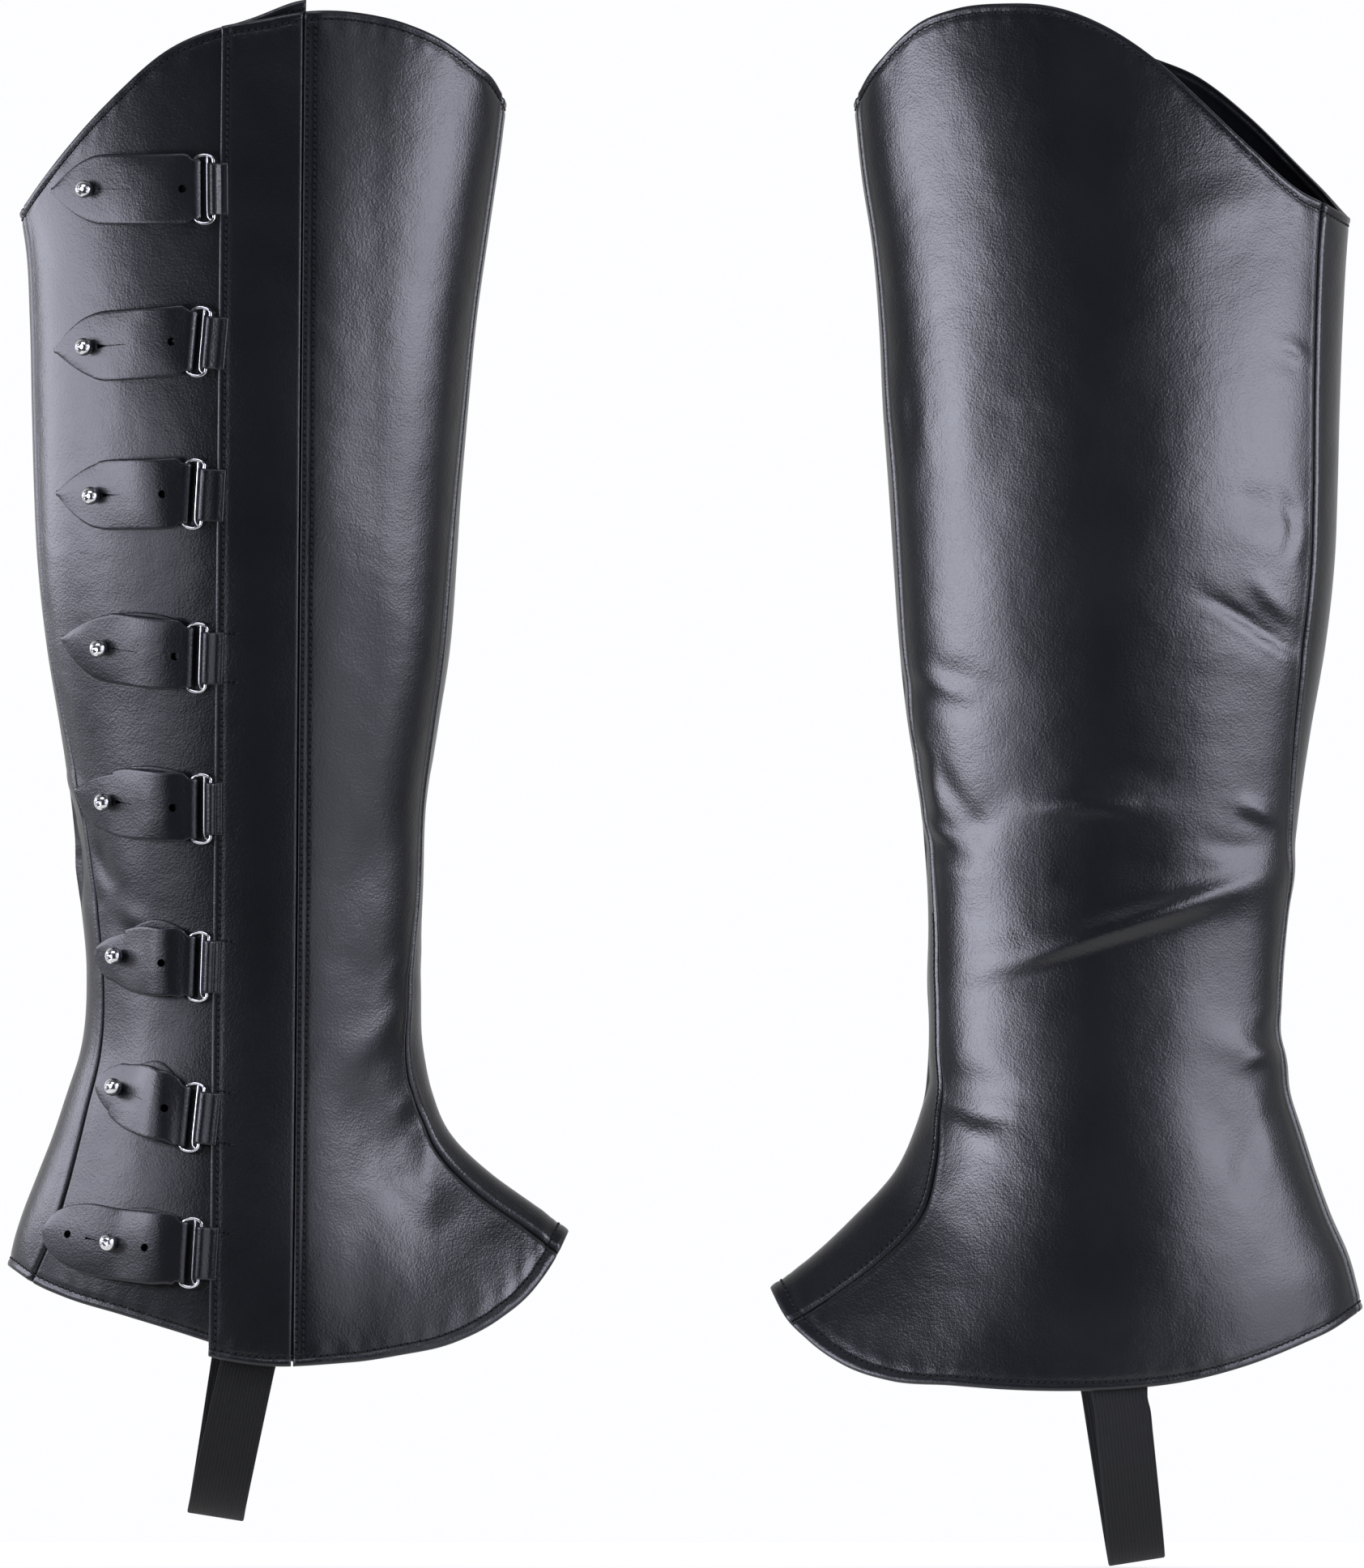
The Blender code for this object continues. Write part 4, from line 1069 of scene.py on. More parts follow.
def cut_panels(cover):
    """The four cuts of one cover's tube."""
    tube, name = cover.tube, cover.name

    def placket_lift(x, z):
        return closure_lift(x, z) + sewn_groove(x - between(PLACKET_REAR_X, z), (PLACKET_ROW,))

    def front_lift(x, z):
        return closure_lift(x, z) + sewn_groove(x - between(PLACKET_FRONT_X, z), DOUBLE_ROWS)

    return {
        "inner_panel": CutPiece(
            f"{name}_inner_panel_cloth",
            panel_place(
                tube,
                lambda s: tube.seam_angles(s)[0] + tube.gap_angle(s),
                lambda s: tube.seam_angles(s)[1] - tube.gap_angle(s),
            ),
            LEATHER,
            turned_hem=0.4,
        ),
        "outer_rear_panel": CutPiece(
            f"{name}_outer_rear_panel_cloth",
            panel_place(
                tube,
                lambda s: tube.seam_angles(s)[1] + tube.gap_angle(s),
                lambda s: tube.closure_angle(UNDERLAP_X, s),
                rise=underlap_rise,
                seams=("start",),
            ),
            LEATHER,
            turned_hem=0.4,
        ),
        "outer_front_panel": CutPiece(
            f"{name}_outer_front_panel_cloth",
            panel_place(
                tube,
                lambda s: tube.closure_angle(PLACKET_FRONT_X, s) + 2 * tube.gap_angle(s),
                lambda s: tube.seam_angles(s)[0] + 2 * math.pi - tube.gap_angle(s),
                front_lift,
                hem_drop,
                ("end",),
            ),
            LEATHER,
            turned_hem=0.4,
        ),
        "placket": CutPiece(
            f"{name}_placket_cloth",
            panel_place(
                tube,
                lambda s: tube.closure_angle(PLACKET_REAR_X, s),
                lambda s: tube.closure_angle(PLACKET_FRONT_X, s),
                placket_lift,
                hem_drop,
                (),
            ),
            PLACKET_THICKNESS,
        ),
    }


# %% Make the panels of both covers
PANEL_GRID = 2.3
cuts = {cover.name: cut_panels(cover) for cover in COVERS}
made = {}
for cover in COVERS:
    for node, cut in cuts[cover.name].items():
        materials = [leather] if node == "placket" else [leather, backing]
        piece = made[cover.name, node] = cut.piece(PANEL_GRID, materials)
        size = f"{cut.width:.0f} x {cut.length:.0f} mm"
        print(cut.name, "cut", size, "faces", len(piece.data.polygons))

# %% [markdown]
# ## The straps
#
# Each strap is sewn down near its stud, runs to its ring, turns round the ring's bar and comes
# back over itself. It is one cut whose middle line follows that way in two numbers, the place
# along the leg and the lift off the cloth. It narrows a little inside the ring, and its end
# runs to a point or is round. Real straps don't lie flat, so the upper layer is crowned and a
# little wavy, and the lower layer's upper edge shows above it on some of them.

# %% Measures of the straps
WIRE = 0.55
RING_WIDTH = 6.2
RING_HEIGHT = 22.8
RING_END = 1.9
BAR_WIRE = 0.34
BAR_PLACE = 4.05
STRAP_HALF_WIDTH = 11.7
STRAP_WAIST = 10.1
WAIST_START = 0.8
WAIST_RUN = 1.7
RING_BLEND = 5.0
STRAP_THICKNESS = 1.3
STRAP_GAP = 0.65
LAYER_GAP = 0.35
CROWN = 0.35
CURL = 0.3
UPPER_RUN = 9.0
WIRE_CLEARANCE = 0.15
STRAP_ANCHOR = 4.2
STRAP_POINT = 17.0
STRAP_POINT_WIDTH = 0.9
LOWER_INSET = 0.8
LOOP_RADIUS = WIRE + WIRE_CLEARANCE + STRAP_THICKNESS / 2
STRAP_LOWER = STRAP_GAP + STRAP_THICKNESS / 2
RING_LIFT = STRAP_LOWER + LOOP_RADIUS
STRAP_UPPER = STRAP_LOWER + STRAP_THICKNESS + LAYER_GAP

Strap = namedtuple(
    "Strap",
    "ring_x ring_z lean stud_x stud_z tip_x tip_z taper bow holes slit slit_width peek",
)
STRAPS = [
    Strap(-16.8, 98.0, -1, -51.0, 98.2, -63.5, 98.3, 1.0, 0.5, (-20.6,), (-49.0, -36.5), 0.3, 0.8),
    Strap(-18.6, 47.8, 5, -50.8, 45.9, -62.1, 44.8, 1.0, 0.9, (-24.0,), (-48.9, -37.8), 1.5, 0.8),
    Strap(-20.3, -2.7, 4, -48.7, -3.2, -61.4, -2.4, 1.0, 1.7, (-26.7,), (-46.9, -39.7), 1.6, 0.8),
    Strap(-19.2, -57.0, 3, -46.2, -53.5, -59.9, -50.4, 1.0, 1.2, (-22.9,), (-44.0, -33.8), 0.4, 1.8),
    Strap(-17.8, -107.4, 1, -44.4, -104.8, -55.3, -101.0, 0.9, 2.6, (-23.2,), (-42.6, -35.6), 1.4, 1.8),
    Strap(-18.6, -160.0, 2, -40.8, -156.6, -48.0, -153.6, 0.6, 3.0, (-26.2,), None, 0.0, 3.0),
    Strap(-20.8, -210.3, 4, -41.3, -201.5, -48.6, -200.0, 0.6, 3.2, (-25.7,), (-38.6, -31.6), 0.3, 3.3),
    Strap(-21.3, -255.0, 3, -43.7, -252.3, -66.0, -248.0, 0.5, 1.8, (-57.8, -32.4), (-52.7, -45.5), 0.8, 2.4),
]


def ring_frame(tube, strap):
    """The frame at a strap's ring, turned by the ring's lean."""
    here, forward, up, out = tube.frame(strap.ring_x, strap.ring_z)
    lean = math.radians(strap.lean)
    leaned = math.cos(lean) * up + math.sin(lean) * forward
    return here, np.cross(leaned, out), leaned, out


def strap_half_width(strap, x):
    """Half the strap's width at x: pointed at its tip, and narrowed inside the ring."""
    short = np.clip((strap.tip_x + STRAP_POINT - x) / STRAP_POINT, 0, 1)
    point = np.clip(1 - short**1.9, 0, 1) ** strap.taper
    waist = 1 - ease((strap.ring_x - x - WAIST_START) / WAIST_RUN)
    return STRAP_HALF_WIDTH * point - (STRAP_HALF_WIDTH - STRAP_WAIST) * waist


def upper_lift(strap, x):
    """How far the upper layer's middle lies off the cloth."""
    reach = RING_LIFT + LOOP_RADIUS - STRAP_UPPER
    back = (strap.ring_x - x) / (strap.ring_x - strap.stud_x)
    bow = strap.bow * np.sin(math.pi * np.clip(back, 0, 1) ** 0.75) ** 2
    return STRAP_UPPER + reach * (1 - ease(back)) + bow


def strap_way(strap):
    """The strap's way as rows of x, lift, half width and how much of it is the upper layer."""
    rows = []
    for x in np.linspace(strap.stud_x - STRAP_ANCHOR, strap.ring_x, 28)[:-1]:
        rows.append((x, STRAP_LOWER, strap_half_width(strap, x) - LOWER_INSET, 0.0))
    for turn in np.linspace(-math.pi / 2, math.pi / 2, 17):
        x = strap.ring_x + LOOP_RADIUS * math.cos(turn)
        rows.append((x, RING_LIFT + LOOP_RADIUS * math.sin(turn), STRAP_WAIST, 0.0))
    run = strap.ring_x - strap.tip_x
    for share in 1 - np.cos(np.linspace(0, math.pi / 2, 60)[1:]):
        x = strap.ring_x - run * math.sin(share * math.pi / 2)
        half = max(float(strap_half_width(strap, x)), STRAP_POINT_WIDTH)
        upper = float(ease((strap.ring_x - x) / UPPER_RUN))
        rows.append((x, float(upper_lift(strap, x)), half, upper))
    return np.array(rows)


def strap_middle(strap, x):
    """The height of the strap's middle line, and its tilt."""
    slope = (strap.stud_z - strap.ring_z) / (strap.stud_x - strap.ring_x)
    end_slope = (strap.tip_z - strap.stud_z) / (strap.tip_x - strap.stud_x)
    near = strap.ring_z + (x - strap.ring_x) * slope
    far = strap.stud_z + (x - strap.stud_x) * end_slope
    before = x >= strap.stud_x
    return np.where(before, near, far), np.where(before, math.atan(slope), math.atan(end_slope))


def strap_place(tube, strap, number):
    """The place function of a strap: u across it from its top edge, v along its way."""
    way = strap_way(strap)
    steps = np.concatenate([[0.0], np.cumsum(np.hypot(*np.diff(way[:, :2], axis=0).T))])
    steps /= steps[-1]
    heading = np.gradient(way[:, :2], steps, axis=0)
    heading /= np.linalg.norm(heading, axis=1, keepdims=True)
    here, forward, up, out = ring_frame(tube, strap)

    def place(u, v, depth=0.0):
        x, lift, half, upper = (np.interp(v, steps, way[:, k]) for k in range(4))
        dx, dlift = (np.interp(v, steps, heading[:, k]) for k in range(2))
        size = np.hypot(dx, dlift)
        back = np.clip((strap.ring_x - x) / (strap.ring_x - strap.stud_x), 0, 1)
        side = (1 - 2 * u) * half + strap.peek * (1 - upper) * np.sin(math.pi * back)
        across = 2 * u - 1
        curl = CURL * np.sin(x / 5.0 + number * 1.9) * across**3
        off = STRAP_THICKNESS / 2 - depth + upper * (CROWN * (1 - across**2) + curl)
        away = ease((strap.ring_x - x) / RING_BLEND)
        z, tilt = strap_middle(strap, x)
        tilt = tilt * ease((strap.ring_x - x) / (strap.ring_x - strap.stud_x))
        x, lift = x + dlift / size * off, lift - dx / size * off
        lying = tube.on_outer(x - side * np.sin(tilt), z + side * np.cos(tilt), lift)
        in_ring = here + forward * (x - strap.ring_x)[..., None]
        in_ring = in_ring + out * lift[..., None] + up * side[..., None]
        return tube.placed(in_ring + (lying - in_ring) * away[..., None])

    return place


# %% [markdown]
# The stud's hole, the spare hole and the slit beside the stud are cut out with the Boolean
# modifier, as a punch would. Each punch stands on the leg at its place and reaches through the
# upper layer only, except at the stud, whose post goes through both layers.


# %% Punches, and straps with their holes
STUD_HOLE = 1.6
SPARE_HOLE = 1.35
PUNCH_REACH = 0.95
PUNCH_ABOVE = 5.0


def standing(tube, x, z, lift):
    """The placing of a piece that stands on the outer side, with its own z pointing out."""
    here, forward, up, out = tube.frame(x, z)
    turn = Matrix((forward, up, out)).transposed().to_4x4()
    return tube.placing @ Matrix.Translation(Vector(here + out * lift) * MM) @ turn


def prism(placing, outline, low, high):
    """Points and faces of an upright punch with this outline, in millimetres about its placing."""
    count = len(outline)
    points = [placing @ (Vector((x, y, h)) * MM) for h in (low, high) for x, y in outline]
    faces = [tuple(reversed(range(count))), tuple(range(count, 2 * count))]
    faces += [(i, (i + 1) % count, count + (i + 1) % count, count + i) for i in range(count)]
    return points, faces


def punch(piece, prisms, label):
    """Cut the prisms out of the piece."""
    points, faces = [], []
    for more_points, more_faces in prisms:
        faces += [tuple(len(points) + corner for corner in face) for face in more_faces]
        points += more_points
    mesh = bpy.data.meshes.new(label)
    mesh.from_pydata(points, [], faces)
    cutter = bpy.data.objects.new(label, mesh)
    bpy.context.scene.collection.objects.link(cutter)
    cut = piece.modifiers.new(label, "BOOLEAN")
    cut.operation, cut.solver, cut.object = "DIFFERENCE", "EXACT", cutter
    settle(piece)
    bpy.data.objects.remove(cutter)


def settle(piece):
    """Make what the piece's modifiers give its own plain mesh."""
    graph = bpy.context.evaluated_depsgraph_get()
    mesh = bpy.data.meshes.new_from_object(
        piece.evaluated_get(graph), preserve_all_data_layers=True, depsgraph=graph
    )
    piece.modifiers.clear()
    plain = piece.data
    piece.data = mesh
    bpy.data.meshes.remove(plain)
    mesh.name = piece.name


def round_outline(radius, sides=20):
    turns = np.linspace(0, 2 * math.pi, sides, endpoint=False)
    return [(radius * math.cos(a), radius * math.sin(a)) for a in turns]


def punched_strap(cover, number, strap):
    place = strap_place(cover.tube, strap, number)
    cut = CutPiece(f"{cover.name}_strap_{number}_cloth", place, STRAP_THICKNESS)
    piece = cut.piece(coarse=1.5, materials=[leather], fine=0.8)

    def over(x, reach):
        z, tilt = strap_middle(strap, x)
        lift = float(upper_lift(strap, x))
        turn = Matrix.Rotation(float(tilt), 4, "Z")
        return standing(cover.tube, x, float(z), 0.0) @ turn, lift - reach, lift + PUNCH_ABOVE

    placing, _, high = over(strap.stud_x, 0.0)
    holes = [prism(placing, round_outline(STUD_HOLE), -0.2, high)]
    for x in strap.holes:
        placing, low, high = over(x, PUNCH_REACH)
        holes.append(prism(placing, round_outline(SPARE_HOLE), low, high))
    punch(piece, holes, "round punch")
    if strap.slit:
        start, end = strap.slit
        placing, low, high = over((start + end) / 2, PUNCH_REACH)
        half = (end - start) / 2
        wide = strap.slit_width / 2
        blade = [(-half, -wide), (-0.4 * half, -0.45 * wide), (half, -0.08)]
        blade += [(x, -y) for x, y in reversed(blade)]
        punch(piece, [prism(placing, blade, low, high)], "slit punch")
    piece.data.set_sharp_from_angle(angle=math.radians(50))
    return cut, piece


for cover in COVERS:
    for number, strap in enumerate(STRAPS, 1):
        node = f"strap_{number}"
        cuts[cover.name][node], made[cover.name, node] = punched_strap(cover, number, strap)
    lengths = [round(cut.length) for node, cut in cuts[cover.name].items() if "strap" in node]
    print(cover.name, "straps:", lengths, "mm long")

# %% [markdown]
# ## Ring tabs
#
# A short tab of thin leather holds each ring at the placket. It comes out of the placket's
# edge, goes round the ring's other bar, and back in. One cut each, bent in the ring's frame.

# %% Make the ring tabs
TAB_HALF_HEIGHT = 8.8
TAB_THICKNESS = 0.9
TAB_SEWN = 3.0


def heading_at(steps, way, v, reach):
    """Which way a line runs at v, read off two places of it a little apart."""
    ahead, behind = (smooth_line(steps, way, np.clip(v + r, 0, 1)) for r in (reach, -reach))
    return ahead - behind


def tab_place(tube, strap):
    here, forward, up, out = ring_frame(tube, strap)
    root = between(PLACKET_REAR_X, strap.ring_z) - strap.ring_x
    radius = WIRE + WIRE_CLEARANCE + TAB_THICKNESS / 2
    middle = PLACKET_LIFT - PLACKET_THICKNESS / 2
    turns = np.radians(np.linspace(55, 305, 21))
    loop = np.stack([RING_WIDTH + radius * np.cos(turns), RING_LIFT + radius * np.sin(turns)], axis=-1)
    over = [(root + TAB_SEWN, middle + 0.45), (root + 0.6, middle + 0.5)]
    under = [(root + 0.6, middle - 0.5), (root + TAB_SEWN, middle - 0.45)]
    way = np.concatenate([over, loop, under])
    steps = np.concatenate([[0.0], np.cumsum(np.hypot(*np.diff(way, axis=0).T))])
    steps /= steps[-1]

    def place(u, v, depth=0.0):
        spot = smooth_line(steps, way, v)
        heading = heading_at(steps, way, v, 0.004)
        heading /= np.linalg.norm(heading, axis=-1, keepdims=True)
        off = TAB_THICKNESS / 2 - depth
        across = spot[..., 0] + heading[..., 1] * off
        lift = spot[..., 1] - heading[..., 0] * off
        side = (2 * u - 1) * TAB_HALF_HEIGHT
        spot = here + forward * across[..., None] + out * lift[..., None]
        return tube.placed(spot + up * side[..., None])

    return place


for cover in COVERS:
    for number, strap in enumerate(STRAPS, 1):
        cut = CutPiece(f"{cover.name}_ring_tab_{number}", tab_place(cover.tube, strap), TAB_THICKNESS)
        cuts[cover.name][f"ring_tab_{number}"] = cut
        made[cover.name, f"ring_tab_{number}"] = cut.piece(coarse=1.4, materials=[leather], fine=0.6)
print("ring tabs:", round(cut.width, 1), "x", round(cut.length, 1), "mm")


# %% [markdown]
# ## Rings and studs
#
# A ring is steel wire bent to a long loop with low round ends: a circle swept along a closed
# path. A thin middle bar runs down it and bends into its lower end. A curve with a bevel does
# that, but plain arithmetic gives the same mesh with no curve to convert. A stud is a turned
# part, so it is a profile spun round its axis: foot, neck, ball, and the small recess on top.


# %% Wire loops and turned parts
WIRE_SIDES = 14
BAR_WAY = [(BAR_PLACE, h) for h in (11.2, 6.0, 0.0, -6.0)] + [(4.2, -8.7), (4.75, -9.9), (5.5, -10.4)]


def swept(name, path, closed, placing):
    """A grid mesh from rings of points in metres about the placing, with ends where it isn't closed."""
    rows = np.array([[placing @ Vector(point) for point in ring] for ring in path])
    count, sides = rows.shape[:2]
    corner = np.arange(count * sides).reshape(count, sides)
    faces = []
    for r in range(count if closed else count - 1):
        below, above = corner[r], corner[(r + 1) % count]
        faces += [(below[s], above[s], above[(s + 1) % sides], below[(s + 1) % sides]) for s in range(sides)]
    if not closed:
        faces += [tuple(corner[0]), tuple(corner[-1][::-1])]
    mesh = bpy.data.meshes.new(name)
    mesh.from_pydata(rows.reshape(-1, 3).tolist(), [], faces)
    mesh.materials.append(nickel)
    mesh.shade_smooth()
    piece = bpy.data.objects.new(name, mesh)
    bpy.context.scene.collection.objects.link(piece)
    return piece


def wire_along(path, radius):
    """Circles of wire along a flat path, each square to the path."""
    heading = np.gradient(path, axis=0)
    heading /= np.linalg.norm(heading, axis=1, keepdims=True)
    circle = np.linspace(0, 2 * math.pi, WIRE_SIDES, endpoint=False)
    rings = []
    for (x, y), (dx, dy) in zip(path, heading):
        spread = radius * np.cos(circle)
        rings.append(np.stack([x + dy * spread, y - dx * spread, radius * np.sin(circle)], axis=-1) * MM)
    return rings


def wire_ring(cover, number, strap):
    """The ring's loop, and its middle bar that bends into the loop's lower end."""
    here, forward, up, out = ring_frame(cover.tube, strap)
    turn = Matrix((forward, up, out)).transposed().to_4x4()
    placing = cover.tube.placing @ Matrix.Translation(Vector(here + out * RING_LIFT) * MM) @ turn
    radius, straight = RING_WIDTH / 2, RING_HEIGHT / 2 - RING_END
    upper = np.linspace(0, math.pi, 17)
    loop = [(radius + radius * math.cos(a), straight + RING_END * math.sin(a)) for a in upper]
    loop += [(radius - radius * math.cos(a), -straight - RING_END * math.sin(a)) for a in upper]
    round_wire = wire_along(np.array(loop[-1:] + loop + loop[:1]), WIRE)[1:-1]
    ring = swept(f"{cover.name}_ring_{number}_wire", round_wire, True, placing)
    bar_line = smooth_line(np.arange(len(BAR_WAY)), BAR_WAY, np.linspace(0, len(BAR_WAY) - 1, 40))
    bar = swept("middle bar", wire_along(bar_line, BAR_WIRE), False, placing)
    with bpy.context.temp_override(active_object=ring, selected_editable_objects=[ring, bar]):
        bpy.ops.object.join()
    return ring


BALL_RADIUS, BALL_HEIGHT = 3.0, 6.6
STUD_SIDES = 24
ball_turns = np.radians([-64, -50, -35, -20, -5, 10, 25, 40, 52, 60, 64])
STUD_PROFILE = [(1.9, 0.0), (1.9, 0.35), (1.5, 0.6), (1.3, 1.2), (1.25, 3.3)]
STUD_PROFILE += [(BALL_RADIUS * math.cos(a), BALL_HEIGHT + BALL_RADIUS * math.sin(a)) for a in ball_turns]
STUD_PROFILE += [(1.2, 9.26), (1.08, 9.1), (1.02, 8.4), (0.7, 8.0), (0.2, 7.95)]


def ball_stud(cover, number, strap):
    placing = standing(cover.tube, strap.stud_x, strap.stud_z, SEAM_GAP)
    circle = np.linspace(0, 2 * math.pi, STUD_SIDES, endpoint=False)
    path = [
        np.stack([r * np.cos(circle), r * np.sin(circle), np.full(STUD_SIDES, h)], axis=-1) * MM
        for r, h in STUD_PROFILE
    ]
    return swept(f"{cover.name}_stud_{number}_ball", path, False, placing)


def face_outwards(piece):
    """Turn the faces outwards, by the sign of the mesh's volume."""
    mesh = piece.data
    mesh.calc_loop_triangles()
    points = np.empty(len(mesh.vertices) * 3)
    mesh.vertices.foreach_get("co", points)
    corners = np.empty(len(mesh.loop_triangles) * 3, dtype=np.int32)
    mesh.loop_triangles.foreach_get("vertices", corners)
    a, b, c = np.moveaxis(points.reshape(-1, 3)[corners.reshape(-1, 3)] - points[:3], 1, 0)
    if np.einsum("ij,ij->i", a, np.cross(b, c)).sum() < 0:
        mesh.flip_normals()


for cover in COVERS:
    for number, strap in enumerate(STRAPS, 1):
        made[cover.name, f"ring_{number}"] = wire_ring(cover, number, strap)
        made[cover.name, f"stud_{number}"] = ball_stud(cover, number, strap)
        made[cover.name, f"stud_{number}"].data.set_sharp_from_angle(angle=math.radians(40))
for piece in made.values():
    face_outwards(piece)
print("rings and studs:", 2 * len(COVERS) * len(STRAPS))

# %% [markdown]
# ## The stirrup
#
# The elastic is sewn inside the hem on both sides and hangs in a round loop. It hangs a little
# askew, as in the photograph. Its middle line is drawn point by point from one sewn end, round
# the bottom, to the other, and the cut follows a smooth curve through it.

# %% Make the stirrups
STIRRUP_WIDTH = 19.0
STIRRUP_THICKNESS = 1.4
STIRRUP_TILT = math.radians(9)
SEWN_X = ((1.0, True), (-2.5, False))
SEWN_RISES = (13.0, 10.0, 6.5, 3.5, 1.0)


def stirrup_place(cover):
    tube = cover.tube
    inside = -(LEATHER + 2 * SEAM_GAP + STIRRUP_THICKNESS / 2)
    half = np.array([1.0, -1.0]) * STIRRUP_WIDTH / 2
    legs = []
    for x, outer in SEWN_X:
        back, front, _, _ = tube.ends(0.0)
        hem = float(tube.heights((x - back) / (front - back), outer)[0])
        leg = []
        for rise in SEWN_RISES:
            angle, share = tube.outer_place(x + half, hem + rise)
            leg.append(tube.point(angle if outer else 2 * math.pi - angle, share, inside))
        legs.append((leg, x, hem))
    (outer_leg, outer_x, outer_hem), (inner_leg, inner_x, inner_hem) = legs
    wide = abs(outer_leg[-1][:, 1].mean())
    bottom = min(outer_hem, inner_hem) - cover.stirrup_drop
    rows = list(outer_leg)
    for turn in np.linspace(0, math.pi, 27)[1:-1]:
        side_x, side_z = (outer_x, outer_hem) if turn < math.pi / 2 else (inner_x, inner_hem)
        down = math.sin(turn)
        x = side_x + (cover.stirrup_x - side_x) * down
        z = side_z + (bottom - side_z) * down
        slope_x, slope_z = math.cos(STIRRUP_TILT), math.sin(STIRRUP_TILT) * down
        rows.append(np.array([(x + h * slope_x, -wide * math.cos(turn), z - h * slope_z) for h in half]))
    rows = np.array(rows + inner_leg[::-1])
    middle = rows.mean(axis=1)
    steps = np.concatenate([[0.0], np.cumsum(np.linalg.norm(np.diff(middle, axis=0), axis=1))])
    steps /= steps[-1]
    right, left = rows[:, 0], rows[:, 1]

    def place(u, v, depth=0.0):
        near, far = smooth_line(steps, right, v), smooth_line(steps, left, v)
        out = np.cross(far - near, heading_at(steps, middle, v, 0.01))
        out /= np.linalg.norm(out, axis=-1, keepdims=True)
        off = np.asarray(STIRRUP_THICKNESS / 2 - depth)
        return tube.placed(near + (far - near) * u[..., None] + out * off[..., None])

    return place


for cover in COVERS:
    cut = CutPiece(f"{cover.name}_stirrup_elastic", stirrup_place(cover), STIRRUP_THICKNESS)
    cuts[cover.name]["stirrup"] = cut
    made[cover.name, "stirrup"] = cut.piece(coarse=2.0, materials=[elastic], fine=0.6)
    face_outwards(made[cover.name, "stirrup"])
    print(cut.name, round(cut.width, 1), "x", round(cut.length, 1), "mm")

# %% [markdown]
# ## Stitches
#
# A cover has about a thousand stitches, in rows that follow its edges. They are made with
# Geometry Nodes: each row is a chain of edges, which the tree turns into a curve, divides by
# the pitch, and fills with one small thread shape at each point. The shape lies along the row
# and its flat side on the cloth, for which each point of the row carries the cloth's outward
# direction. A second run of the same tree puts small dark discs between the stitches: painted shade for the
# needle holes.


# %% The stitch tree
STITCH_SIDES = 6


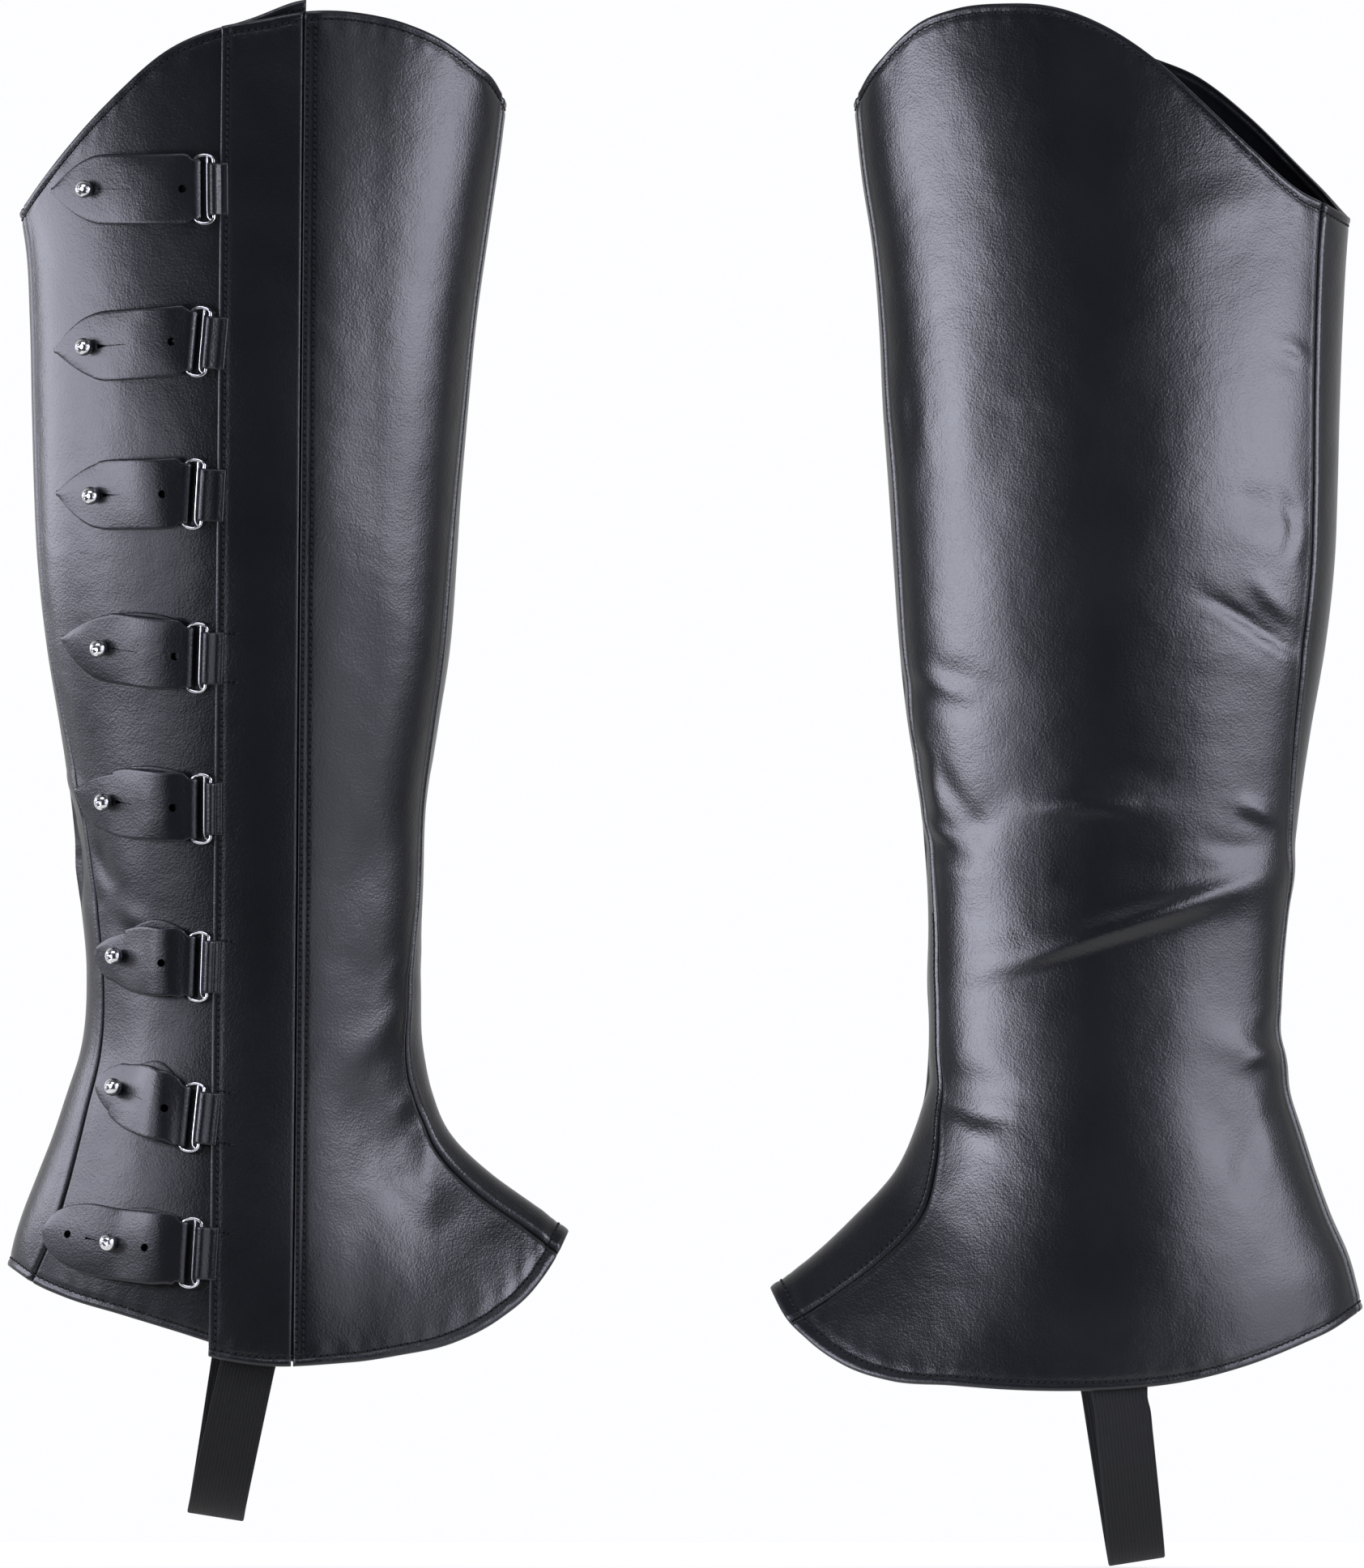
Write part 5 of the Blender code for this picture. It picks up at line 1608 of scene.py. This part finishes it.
def stitch_tree():
    """The node group that sews, and the identifier of each of its inputs."""
    group = bpy.data.node_groups.new("Stitches along rows", "GeometryNodeTree")
    face = group.interface
    face.new_socket("Geometry", in_out="INPUT", socket_type="NodeSocketGeometry")
    sizes = {}
    for name, kind in (
        ("Pitch", "NodeSocketFloat"),
        ("Length", "NodeSocketFloat"),
        ("Width", "NodeSocketFloat"),
        ("Height", "NodeSocketFloat"),
        ("Slant", "NodeSocketFloat"),
        ("Unevenness", "NodeSocketFloat"),
        ("Seed", "NodeSocketInt"),
        ("Rings", "NodeSocketInt"),
        ("Thread", "NodeSocketMaterial"),
    ):
        sizes[name] = face.new_socket(name, in_out="INPUT", socket_type=kind).identifier
    face.new_socket("Geometry", in_out="OUTPUT", socket_type="NodeSocketGeometry")
    tree = Nodes(group)
    given = tree.add("NodeGroupInput")
    rows = tree.add("GeometryNodeMeshToCurve", {}, {"Mesh": given("Geometry")})("Curve")
    by_length = {"Curve": rows, "Length": given("Pitch")}
    spaced = tree.add("GeometryNodeResampleCurve", {"mode": "LENGTH"}, by_length)("Curve")

    round_shape = {"Segments": STITCH_SIDES, "Rings": given("Rings"), "Radius": 1.0}
    ball = tree.add("GeometryNodeMeshUVSphere", {}, round_shape)("Mesh")
    on_its_side = {"Geometry": ball, "Rotation": (0.0, math.pi / 2, 0.0)}
    shape = tree.add("GeometryNodeTransform", {}, on_its_side)("Geometry")
    position = tree.add("GeometryNodeInputPosition")("Position")
    spot = tree.add("ShaderNodeSeparateXYZ", {}, {"Vector": position})
    on_points = {"data_type": "FLOAT", "domain": "POINT"}
    for name, value in (("along_stitch", spot("X")), ("around_stitch", spot("Y"))):
        stored = {"Geometry": shape, "Name": name, "Value": value}
        shape = tree.add("GeometryNodeStoreNamedAttribute", on_points, stored)("Geometry")
    half = {"X": given("Length") * 0.5, "Y": given("Width") * 0.5, "Z": given("Height") * 0.5}
    size = tree.add("ShaderNodeCombineXYZ", {}, half)("Vector")
    shape = tree.add("GeometryNodeTransform", {}, {"Geometry": shape, "Scale": size})("Geometry")

    vector = {"data_type": "FLOAT_VECTOR"}
    outward = tree.add("GeometryNodeInputNamedAttribute", vector, {"Name": "outward"})("Attribute")
    tangent = tree.add("GeometryNodeInputTangent")("Tangent")
    flat = tree.add("FunctionNodeAlignRotationToVector", {"axis": "Z"}, {"Vector": outward})("Rotation")
    about_z = {"axis": "X", "pivot_axis": "Z"}
    along_row = {"Rotation": flat, "Vector": tangent}
    lying = tree.add("FunctionNodeAlignRotationToVector", about_z, along_row)("Rotation")
    limits = {"Min": given("Unevenness") * -1.0, "Max": given("Unevenness"), "Seed": given("Seed")}
    wander = tree.add("FunctionNodeRandomValue", {"data_type": "FLOAT"}, limits)("Value")
    slant = tree.add("ShaderNodeCombineXYZ", {}, {"Z": given("Slant") + wander})("Vector")
    turn = tree.add("FunctionNodeEulerToRotation", {}, {"Euler": slant})("Rotation")
    turned = {"Rotation": lying, "Rotate By": turn}
    lying = tree.add("FunctionNodeRotateRotation", {"rotation_space": "LOCAL"}, turned)("Rotation")

    each = {"Points": spaced, "Instance": shape, "Rotation": lying}
    sewn = tree.add("GeometryNodeInstanceOnPoints", {}, each)("Instances")
    real = tree.add("GeometryNodeRealizeInstances", {}, {"Geometry": sewn})("Geometry")
    finished = {"Geometry": real, "Material": given("Thread")}
    threaded = tree.add("GeometryNodeSetMaterial", {}, finished)("Geometry")
    tree.add("NodeGroupOutput", {}, {"Geometry": threaded})
    return group, sizes


stitches_along_rows, stitch_inputs = stitch_tree()
print("stitch tree:", len(stitches_along_rows.nodes), "nodes, inputs", list(stitch_inputs))

# %% [markdown]
# The rows themselves are read off the cut pieces. That keeps them on the cloth wherever it
# goes: along the top edge and the hem, down the placket, twice down the front panel beside it,
# along the second cover's toe seam, and in short bars where ring tabs are sewn through the
# placket.

# %% Sew the covers
PITCH = 2.25
ROW_MARGIN = 1.2
CLOSURE_MARGIN = 4.6
TOE_ROW, TOE_ROW_START, TOE_ROW_LENGTH = 2.0, 0.02, 0.30
TAB_BARS = {4: (-8.0, 8.4), 6: (8.2,), 7: (-8.0, 8.4), 8: (8.2,)}
TAB_BAR_ENDS = (3.6, 7.4)


def stitch_rows(cover):
    cut = cuts[cover.name]
    rows = []
    shares = np.linspace(0, 1, 260)
    for name in ("inner_panel", "outer_rear_panel", "outer_front_panel", "placket"):
        piece = cut[name]
        margin = ROW_MARGIN / piece.width
        u = margin + (1 - 2 * margin) * shares
        rows.append(piece.row(u, 1 - STITCH_INSET / piece.length_at(u)))
        rows.append(piece.row(u, STITCH_INSET / piece.length_at(u)))
    end = CLOSURE_MARGIN / cut["placket"].length
    v = end + (1 - 2 * end) * shares
    for name, insets in (("placket", (PLACKET_ROW,)), ("outer_front_panel", DOUBLE_ROWS)):
        rows += [cut[name].row(inset / cut[name].width_at(v), v) for inset in insets]
    if cover.name == "second":
        piece, v = cut["outer_front_panel"], TOE_ROW_START + TOE_ROW_LENGTH * shares
        rows.append(piece.row(1 - TOE_ROW / piece.width_at(v), v))
    piece = cut["placket"]
    for number, ends in TAB_BARS.items():
        strap = STRAPS[number - 1]
        for end in ends:
            v = (strap.ring_z + end - CLOSURE_HEIGHTS[0]) / (CLOSURE_HEIGHTS[1] - CLOSURE_HEIGHTS[0])
            rows.append(piece.row(np.linspace(*TAB_BAR_ENDS, 9) / piece.width_at(v), np.full(9, v)))
    return rows


def sew(name, rows, sizes):
    """One object of thread shapes along the rows."""
    points, edges, outward = [], [], []
    for row_points, row_outward in rows:
        first = len(points)
        points += row_points.tolist()
        outward += row_outward.tolist()
        edges += [(first + k, first + k + 1) for k in range(len(row_points) - 1)]
    mesh = bpy.data.meshes.new(name)
    mesh.from_pydata(points, edges, [])
    facing = mesh.attributes.new("outward", "FLOAT_VECTOR", "POINT")
    facing.data.foreach_set("vector", np.array(outward).reshape(-1))
    piece = bpy.data.objects.new(name, mesh)
    bpy.context.scene.collection.objects.link(piece)
    sewing = piece.modifiers.new("Stitches", "NODES")
    sewing.node_group = stitches_along_rows
    for label, value in sizes.items():
        sewing[stitch_inputs[label]] = value
    settle(piece)
    piece.data.shade_smooth()
    return piece


def between_stitches(row):
    """The same row, moved on by half a pitch, for the dark discs that paint the needle holes' shade."""
    points, outward = row
    steps = np.concatenate([[0.0], np.cumsum(np.linalg.norm(np.diff(points, axis=0), axis=1))])
    along = np.linspace(PITCH * MM / 2, max(steps[-1] - PITCH * MM / 2, PITCH * MM), len(points))

    def moved(values):
        return np.stack([np.interp(along, steps, values[:, k]) for k in range(3)], axis=-1)

    return moved(points), moved(outward)


STITCH = {
    "Pitch": PITCH * MM,
    "Length": 2.05 * MM,
    "Width": 0.82 * MM,
    "Height": 0.70 * MM,
    "Slant": math.radians(13),
    "Unevenness": math.radians(6),
    "Seed": 7,
    "Rings": 6,
    "Thread": thread,
}
# The needle-hole discs are painted shade: dark, matt and flat, where the holes' shade would fall.
HOLE_SHADE = {
    **STITCH,
    "Length": 0.95 * MM,
    "Width": 1.20 * MM,
    "Height": 0.16 * MM,
    "Slant": 0.0,
    "Rings": 3,
    "Thread": hole_shade,
}
for cover in COVERS:
    rows = stitch_rows(cover)
    # These holes are dark discs between the stitches, painted shade of the needle holes.
    holes = [between_stitches(row) for row in rows]
    made[cover.name, "stitches"] = sew(f"{cover.name}_stitches", rows, STITCH)
    made[cover.name, "needle_holes"] = sew(f"{cover.name}_needle_holes", holes, HOLE_SHADE)
    faces = len(made[cover.name, "stitches"].data.polygons)
    print(cover.name, "rows:", len(rows), "stitches:", faces // (STITCH_SIDES * STITCH["Rings"]))

# %% [markdown]
# ## Joining the model
#
# Nothing moves against anything else here, so every piece rides on the one body. Each piece
# stands for the solid it was shaped on, and that solid is hidden. The size each cut had when it
# lay flat is worked out as well.

# %% Ride and replace
for (side, node), piece in made.items():
    lit[side].objects.link(piece)
    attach(piece, "root")
    if f"{side}_{node}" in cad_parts:
        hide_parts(f"{side}_{node}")
    if node in cuts[side]:
        cut = cuts[side][node]
        flat = (cut.width * MM, cut.length * MM)
triangles = sum(len(face.vertices) - 2 for piece in made.values() for face in piece.data.polygons)
print("pieces:", len(made), "triangles:", triangles)
